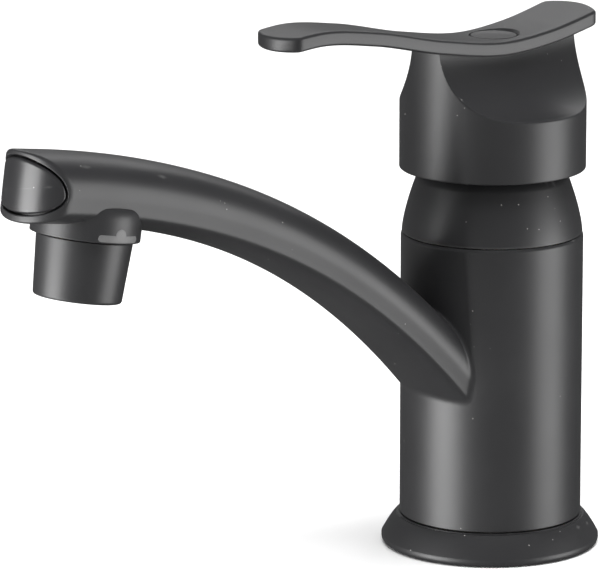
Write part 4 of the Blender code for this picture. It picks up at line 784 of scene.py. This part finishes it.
NOZZLE_TOP, NOZZLE_END = 12.1 * mm, 11.1 * mm
NOZZLE_LENGTH, NOZZLE_SEAM = 15.4 * mm, 0.3 * mm
NOZZLE_WALL = 1.6 * mm
NIPPLE_ROOM = 9.7 * mm
NIPPLE_DEPTH = 8.3 * mm
nozzle_bottom = -NOZZLE_SEAM - NOZZLE_LENGTH
nozzle_mouth = NOZZLE_END - NOZZLE_WALL
nozzle_profile = eased(
    [
        (NIPPLE_ROOM, -NOZZLE_SEAM), (NOZZLE_TOP, -NOZZLE_SEAM), (NOZZLE_END, nozzle_bottom),
        (nozzle_mouth, nozzle_bottom), (nozzle_mouth, -NIPPLE_DEPTH), (NIPPLE_ROOM, -NIPPLE_DEPTH),
    ],
    (0.2 * mm, 0.3 * mm, 0.9 * mm, 0.3 * mm, 0, 0),
    9,
)
nozzle = turned_piece("nozzle_sleeve_shell", nozzle_profile, satin_black, 224, nozzle_tilt, rim_centre)
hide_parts("nozzle_sleeve")
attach(nozzle, "nozzle")

# ------------------------------------------------------------------ shoulder cover
# A spun brass dome that screws down on the core over the cartridge's nut, and closes the column
# under the handle. Its side curves in like a bell, and its top turns over to a round mouth.

dome_low, dome_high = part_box("shoulder_cover")
dome_foot = dome_high.x
DOME_SIDE, DOME_IN, DOME_POWER = 14.2 * mm, 3.65 * mm, 1.45
DOME_MOUTH, DOME_WALL = 15.6 * mm, 2.0 * mm
DOME_BORE_INSET, DOME_BORE_HEIGHT = 3.1 * mm, 7.1 * mm
dome_bore = column_radius - DOME_BORE_INSET
dome_share = np.linspace(0, 1, 30)
dome_side = np.stack([
    dome_foot - DOME_IN * dome_share**DOME_POWER, dome_low.z + DOME_SIDE * dome_share,
], axis=-1)
side_end = dome_side[-1]
dome_top = eased(
    [
        (side_end[0], side_end[1]), (side_end[0] - 1.3 * mm, side_end[1] + 1.6 * mm),
        (DOME_MOUTH + 1.2 * mm, dome_high.z), (DOME_MOUTH, dome_high.z),
        (DOME_MOUTH, dome_high.z - DOME_WALL),
        (side_end[0] - DOME_WALL - 0.6 * mm, side_end[1] - 0.6 * mm),
        (dome_bore, dome_low.z + DOME_BORE_HEIGHT), (dome_bore, dome_low.z),
    ],
    (0, 0.9 * mm, 0.8 * mm, 0.2 * mm, 0, 0, 0, 0),
)
dome = turned_piece("shoulder_dome", np.concatenate([dome_side, dome_top[1:]]), satin_black, around=256)
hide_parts("shoulder_cover")
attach(dome, "base")

# ------------------------------------------------------------------ handle blade
# A long flat lever, cast in zinc, which dips over the hub and sweeps up at both ends. It is a
# little wider at the back, with bowed ends, round corners and softly rounded long edges.

BLADE_FRONT, BLADE_BACK = -77.1 * mm, 30.6 * mm
BLADE_WIDTHS = np.array((16.4, 20.2)) * mm
BLADE_BOW = 3.0 * mm
BLADE_THICKNESS = 3.8 * mm
BLADE_ROUND = 0.75 * mm
blade_stations = np.array((-77.2, -66.0, -48.0, -25.0, -3.0, 12.0, 31.0)) * mm
blade_rises = np.array((9.0, 9.85, 7.75, 2.8, 0.0, 1.25, 5.25)) * mm
BLADE_POINTS, CORNER_PASSES = 280, 9
blade_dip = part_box("lever_blade")[1].z - blade_rises.max()


def blade_top(y):
    """Height of the blade's top: cubic spans through a few stations, each leaving and meeting a
    station at the slope that its neighbours give it."""
    run = np.diff(blade_stations)
    slopes = np.diff(blade_rises) / run
    inner = (slopes[:-1] * run[1:] + slopes[1:] * run[:-1]) / (run[1:] + run[:-1])
    slope = np.concatenate([slopes[:1], inner, slopes[-1:]])
    k = np.clip(np.searchsorted(blade_stations, y) - 1, 0, len(run) - 1)
    t = (y - blade_stations[k]) / run[k]
    rise = (
        (2 * t**3 - 3 * t**2 + 1) * blade_rises[k] + (t**3 - 2 * t**2 + t) * run[k] * slope[k]
        + (3 * t**2 - 2 * t**3) * blade_rises[k + 1] + (t**3 - t**2) * run[k] * slope[k + 1]
    )
    return blade_dip + rise


def blade_under(y):
    """Height of the blade's underside, its thickness measured square to the slope."""
    slope = (blade_top(y + mm) - blade_top(y - mm)) / (2 * mm)
    return blade_top(y) - BLADE_THICKNESS * np.hypot(1, slope)


def blade_outline():
    """The plan outline, evenly spaced from the middle of the front: two straight sides that widen
    to the back and two bowed ends, x = w/2 c and y = front + bow c^2 or back - bow c^2, then its
    mirror image, with corners softened by averaging."""
    across = np.linspace(0, 1, 40)
    front = np.stack([across * BLADE_WIDTHS[0] / 2, BLADE_FRONT + BLADE_BOW * across**2], axis=-1)
    back = np.stack([across * BLADE_WIDTHS[1] / 2, BLADE_BACK - BLADE_BOW * across**2], axis=-1)[::-1]
    corners = np.concatenate([front, back])
    length = np.concatenate([[0], np.cumsum(np.linalg.norm(np.diff(corners, axis=0), axis=1))])
    even = np.linspace(0, length[-1], BLADE_POINTS + 1)
    half = np.stack([np.interp(even, length, corners[:, 0]), np.interp(even, length, corners[:, 1])], axis=-1)
    outline = np.concatenate([half, half[-2:0:-1] * np.array((-1, 1))])
    for _ in range(CORNER_PASSES):
        outline = (np.roll(outline, 1, axis=0) + 2 * outline + np.roll(outline, -1, axis=0)) / 4
    return outline


blade_loop = blade_outline()
loop_step = np.roll(blade_loop, -1, axis=0) - np.roll(blade_loop, 1, axis=0)
inward = np.stack([-loop_step[:, 1], loop_step[:, 0]], axis=-1)
inward /= np.linalg.norm(inward, axis=1, keepdims=True)
inset_loop = blade_loop + BLADE_ROUND * inward
spine_end = BLADE_WIDTHS[0] / 2
spine_y = np.clip(inset_loop[:, 1], BLADE_FRONT + spine_end, BLADE_BACK - spine_end)
spine = np.stack([0 * spine_y, spine_y], axis=-1)
face_plans = spine + np.linspace(0, 1, 12)[:, None, None] * (inset_loop - spine)
blade_turn = np.linspace(0, math.pi / 2, 7)
round_plans = blade_loop + BLADE_ROUND * (1 - np.sin(blade_turn))[:, None, None] * inward
round_drop = BLADE_ROUND * (1 - np.cos(blade_turn))[:, None]
blade_plan = np.concatenate([face_plans, round_plans[1:], round_plans[::-1], face_plans[-2::-1]])
blade_heights = np.concatenate([
    blade_top(face_plans[..., 1]), blade_top(round_plans[1:, :, 1]) - round_drop[1:],
    blade_under(round_plans[::-1, :, 1]) + round_drop[::-1], blade_under(face_plans[-2::-1, :, 1]),
])
blade_grid = np.concatenate([blade_plan, blade_heights[..., None]], axis=-1)
blade = finish_piece("handle_blade", blade_grid, grid_faces(len(blade_grid), len(blade_loop)), satin_black)
cap_low, cap_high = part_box("screw_cap")
RECESS_ROOM = 0.3 * mm
CHAMFER_DOWN, CHAMFER_UP = 0.15 * mm, 1.35 * mm
recess_radius = cap_high.x + RECESS_ROOM
recess_floor, recess_top = cap_low.z - RECESS_ROOM, cap_high.z + CHAMFER_UP
recess_profile = eased(
    [
        (0, recess_floor), (recess_radius, recess_floor), (recess_radius, cap_high.z - CHAMFER_DOWN),
        (recess_radius + CHAMFER_DOWN + CHAMFER_UP, recess_top), (0, recess_top),
    ],
    (0, 0, 0.1 * mm, 0, 0),
)
recess = turned_piece("cap_recess", recess_profile, satin_black, around=128)
cut = blade.modifiers.new("recess", "BOOLEAN")
cut.solver = "EXACT"
cut.object = recess
bpy.context.view_layer.update()
blade_cut = bpy.data.meshes.new_from_object(blade.evaluated_get(bpy.context.evaluated_depsgraph_get()))
blade.modifiers.clear()
blade.data = blade_cut
blade_shape = bmesh.new()
blade_shape.from_mesh(blade_cut)
bmesh.ops.remove_doubles(blade_shape, verts=blade_shape.verts, dist=2e-6)
bmesh.ops.dissolve_degenerate(blade_shape, edges=blade_shape.edges, dist=1e-6)
blade_shape.to_mesh(blade_cut)
blade_shape.free()
blade_cut.set_sharp_from_angle(angle=SHARP_ANGLE)
bpy.data.objects.remove(recess)
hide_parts("lever_blade")
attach(blade, "lever")

# ------------------------------------------------------------------ handle hub
# The handle's round body, cast in one with a web that rises to the blade. Two round scoops, one on
# each side, leave the web standing and cut the hub's rim in a long crisp curve.

hub_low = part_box("handle_hub")[0].z
hub_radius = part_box("handle_hub")[1].x
HUB_WALL = 2.5 * mm
HUB_CEILING_DEPTH = 11.65 * mm
SCOOP_RADIUS = 20.5 * mm
SCOOP_RISE = 36.65 * mm
SCOOP_OUTSET = 1.0 * mm
SEAT_GAP = 0.25 * mm
HUB_EDGE = 0.55 * mm
HUB_AROUND = 320
scoop_height = hub_low + SCOOP_RISE
scoop_axis = hub_radius + SCOOP_OUTSET
hub_turn = np.linspace(-math.pi / 2, math.pi / 2, HUB_AROUND // 2 + 1)
row_y = hub_radius * np.sin(hub_turn)
row_x = hub_radius * np.cos(hub_turn)
seat_height = blade_under(row_y) - SEAT_GAP
seat_turn = np.arcsin(np.clip((scoop_height - seat_height) / SCOOP_RADIUS, 0, 1))
wall_turn = np.arccos(np.clip((scoop_axis - row_x) / SCOOP_RADIUS, -1, 1))
rim_turn_out = np.maximum(wall_turn, seat_turn)
seat_x = np.minimum(scoop_axis - SCOOP_RADIUS * np.cos(seat_turn), row_x)


def scoop_point(turn):
    """A point of each row on the scoop's round wall, from its angle below the level."""
    x = np.minimum(scoop_axis - SCOOP_RADIUS * np.cos(turn), row_x)
    height = np.minimum(scoop_height - SCOOP_RADIUS * np.sin(turn), seat_height)
    return np.stack([x, row_y, height], axis=-1)


EDGE_LIMIT = 0.45
edge_size = np.minimum(HUB_EDGE, EDGE_LIMIT * SCOOP_RADIUS * (rim_turn_out - seat_turn))
rim_corner = scoop_point(rim_turn_out)
rim_wall = rim_corner - np.stack([0 * row_x, 0 * row_x, edge_size], axis=-1)
rim_inner_turn = rim_turn_out - edge_size / SCOOP_RADIUS
rim_inner = scoop_point(rim_inner_turn)
hub_edge = bent(rim_wall, rim_corner, rim_inner, np.linspace(0, 1, 7)[:, None, None])
scoop_rows = np.stack([
    scoop_point(rim_inner_turn + share * (seat_turn - rim_inner_turn)) for share in np.linspace(0, 1, 44)[1:]
])
web_rows = np.stack([
    np.stack([seat_x * share, row_y, seat_height], axis=-1) for share in np.linspace(1, 0, 8)[1:]
])
half_top = np.concatenate([hub_edge, scoop_rows, web_rows])
mirror = np.array((-1.0, 1.0, 1.0))
hub_top = np.concatenate([half_top, half_top[-2::-1] * mirror])

round_turn = np.linspace(0, 2 * math.pi, HUB_AROUND, endpoint=False)
quarter = HUB_AROUND // 4
wall_line = np.concatenate([rim_wall[quarter:], (rim_wall[::-1] * mirror)[1:], rim_wall[1:quarter]])
SKIRT_HEIGHT = 3.0 * mm
hub_bore = hub_radius - HUB_WALL
hub_ceiling = hub_low + HUB_CEILING_DEPTH
skirt_profile = eased(
    [
        (0, hub_ceiling), (hub_bore, hub_ceiling), (hub_bore, hub_low), (hub_radius, hub_low),
        (hub_radius, hub_low + SKIRT_HEIGHT),
    ],
    (0, 2.0 * mm, 0.2 * mm, 0.45 * mm, 0),
)
skirt = np.stack([
    skirt_profile[:, 0, None] * np.cos(round_turn), skirt_profile[:, 0, None] * np.sin(round_turn),
    skirt_profile[:, 1, None] + 0 * round_turn,
], axis=-1)
climb = np.linspace(0, 1, 12)[1:, None, None]
wall_rows = skirt[-1] + climb * (wall_line - skirt[-1])
hub_round = np.concatenate([skirt, wall_rows])
hub_points = np.concatenate([hub_round.reshape(-1, 3), hub_top.reshape(-1, 3)])
hub_faces = np.concatenate([
    grid_faces(len(hub_round), HUB_AROUND).reshape(-1, 4),
    grid_faces(len(hub_top), len(hub_turn), False, hub_round[..., 0].size).reshape(-1, 4),
])
hub = finish_piece("handle_hub_shell", hub_points, hub_faces, satin_black)
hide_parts("handle_hub")
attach(hub, "lever")

# ------------------------------------------------------------------ screw cap
# A small moulded cap that hides the handle's screw. It is pressed into a round recess in the
# blade, dished a little, with a rounded rim.

cap_radius = cap_high.x
CAP_DISH = 0.35 * mm
CAP_RIM = 0.35 * mm
dish_share = np.linspace(0, 1, 14)
cap_dish = np.stack([
    dish_share * (cap_radius - CAP_RIM), cap_high.z - CAP_DISH * (1 - dish_share**4),
], axis=-1)
cap_side = eased(
    [(cap_radius - CAP_RIM, cap_high.z), (cap_radius, cap_high.z), (cap_radius, cap_low.z), (0, cap_low.z)],
    (0, CAP_RIM, 0, 0),
)
cap = turned_piece("screw_cap_disc", np.concatenate([cap_dish, cap_side[1:]]), satin_black, around=128)
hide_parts("screw_cap")
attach(cap, "lever")

# ------------------------------------------------------------------ studio
# A plain pale floor, a soft box at each side that reaches below the floor line, so that the upright
# walls reflect it, a wide low one behind, a broad one overhead that lights the floor, and the camera.

VIEW_TURN = math.radians(49.0)
VIEW_RISE = math.radians(13.1)
VIEW_DISTANCE = 1.5
FIELD_WIDTH = 158.02 * mm
AIM_ACROSS, AIM_HEIGHT = -50.45 * mm, 69.5 * mm
to_right = Vector((math.cos(VIEW_TURN), math.sin(VIEW_TURN), 0))
to_camera = Vector((math.sin(VIEW_TURN), -math.cos(VIEW_TURN), 0))
aim = to_right * AIM_ACROSS + Vector((0, 0, AIM_HEIGHT))
back = to_camera * math.cos(VIEW_RISE) + Vector((0, 0, math.sin(VIEW_RISE)))
camera_data = bpy.data.cameras.new("camera")
SENSOR_WIDTH, VIEW_END = 36.0, 50.0
camera_data.sensor_width = SENSOR_WIDTH
camera_data.lens = SENSOR_WIDTH * VIEW_DISTANCE / FIELD_WIDTH
camera_data.clip_end = VIEW_END
camera = bpy.data.objects.new("camera", camera_data)
camera.location = aim + back * VIEW_DISTANCE
camera.rotation_euler = back.to_track_quat("Z", "Y").to_euler()
bpy.context.scene.collection.objects.link(camera)
bpy.context.scene.camera = camera


def floor_finish():
    """Pale matt paper with a barely seen tooth."""
    material, tree, shader = start_material("pale_paper", 0.0, 0.9)
    grain = place_group(tree, surface_grain, Grains=900.0, Clouds=3.0)
    tone(tree, shader, grain["Cloud"], (0.86, 0.86, 0.86), (0.9, 0.9, 0.9))
    return material


FLOOR_HALF = 6.0
floor_mesh = bpy.data.meshes.new("floor")
floor_corners = [(FLOOR_HALF * x, FLOOR_HALF * y, 0) for x, y in ((-1, -1), (1, -1), (1, 1), (-1, 1))]
floor_mesh.from_pydata(floor_corners, [], [(0, 1, 2, 3)])
floor_mesh.materials.append(floor_finish())
floor = bpy.data.objects.new("floor", floor_mesh)
bpy.context.scene.collection.objects.link(floor)
floor.visible_glossy = False
floor.visible_shadow = False
LIT_HEIGHT = 70 * mm


def soft_box(name, turn, height, distance, width, tall, power):
    """An area light at an angle to the camera's side (right is positive), turned to the object."""
    light = bpy.data.lights.new(name, "AREA")
    light.shape = "RECTANGLE"
    light.size, light.size_y = width, tall
    light.energy = power
    box = bpy.data.objects.new(name, light)
    angle = math.radians(turn)
    away = to_camera * math.cos(angle) + to_right * math.sin(angle)
    box.location = away * distance + Vector((0, 0, height))
    box.rotation_euler = (box.location - Vector((0, 0, LIT_HEIGHT))).to_track_quat("Z", "Y").to_euler()
    bpy.context.scene.collection.objects.link(box)
    return box


soft_box("left_box", turn=-62, height=-0.08, distance=0.75, width=0.45, tall=0.62, power=8.5)
soft_box("right_box", turn=76, height=-0.08, distance=0.85, width=0.55, tall=0.62, power=5.5)
soft_box("rear_box", turn=180, height=0.75, distance=1.0, width=1.4, tall=0.3, power=3.0)
floor_light = soft_box("top_box", turn=20, height=1.6, distance=0.3, width=1.6, tall=1.6, power=60.0)
floor_light.visible_glossy = False
world = bpy.data.worlds.new("studio")
bpy.context.scene.world = world
world.use_nodes = True
world.node_tree.nodes["Background"].inputs["Color"].default_value = (0.5, 0.5, 0.5, 1.0)
world.node_tree.nodes["Background"].inputs["Strength"].default_value = 0.2
bpy.context.scene.view_settings.view_transform = "Standard"
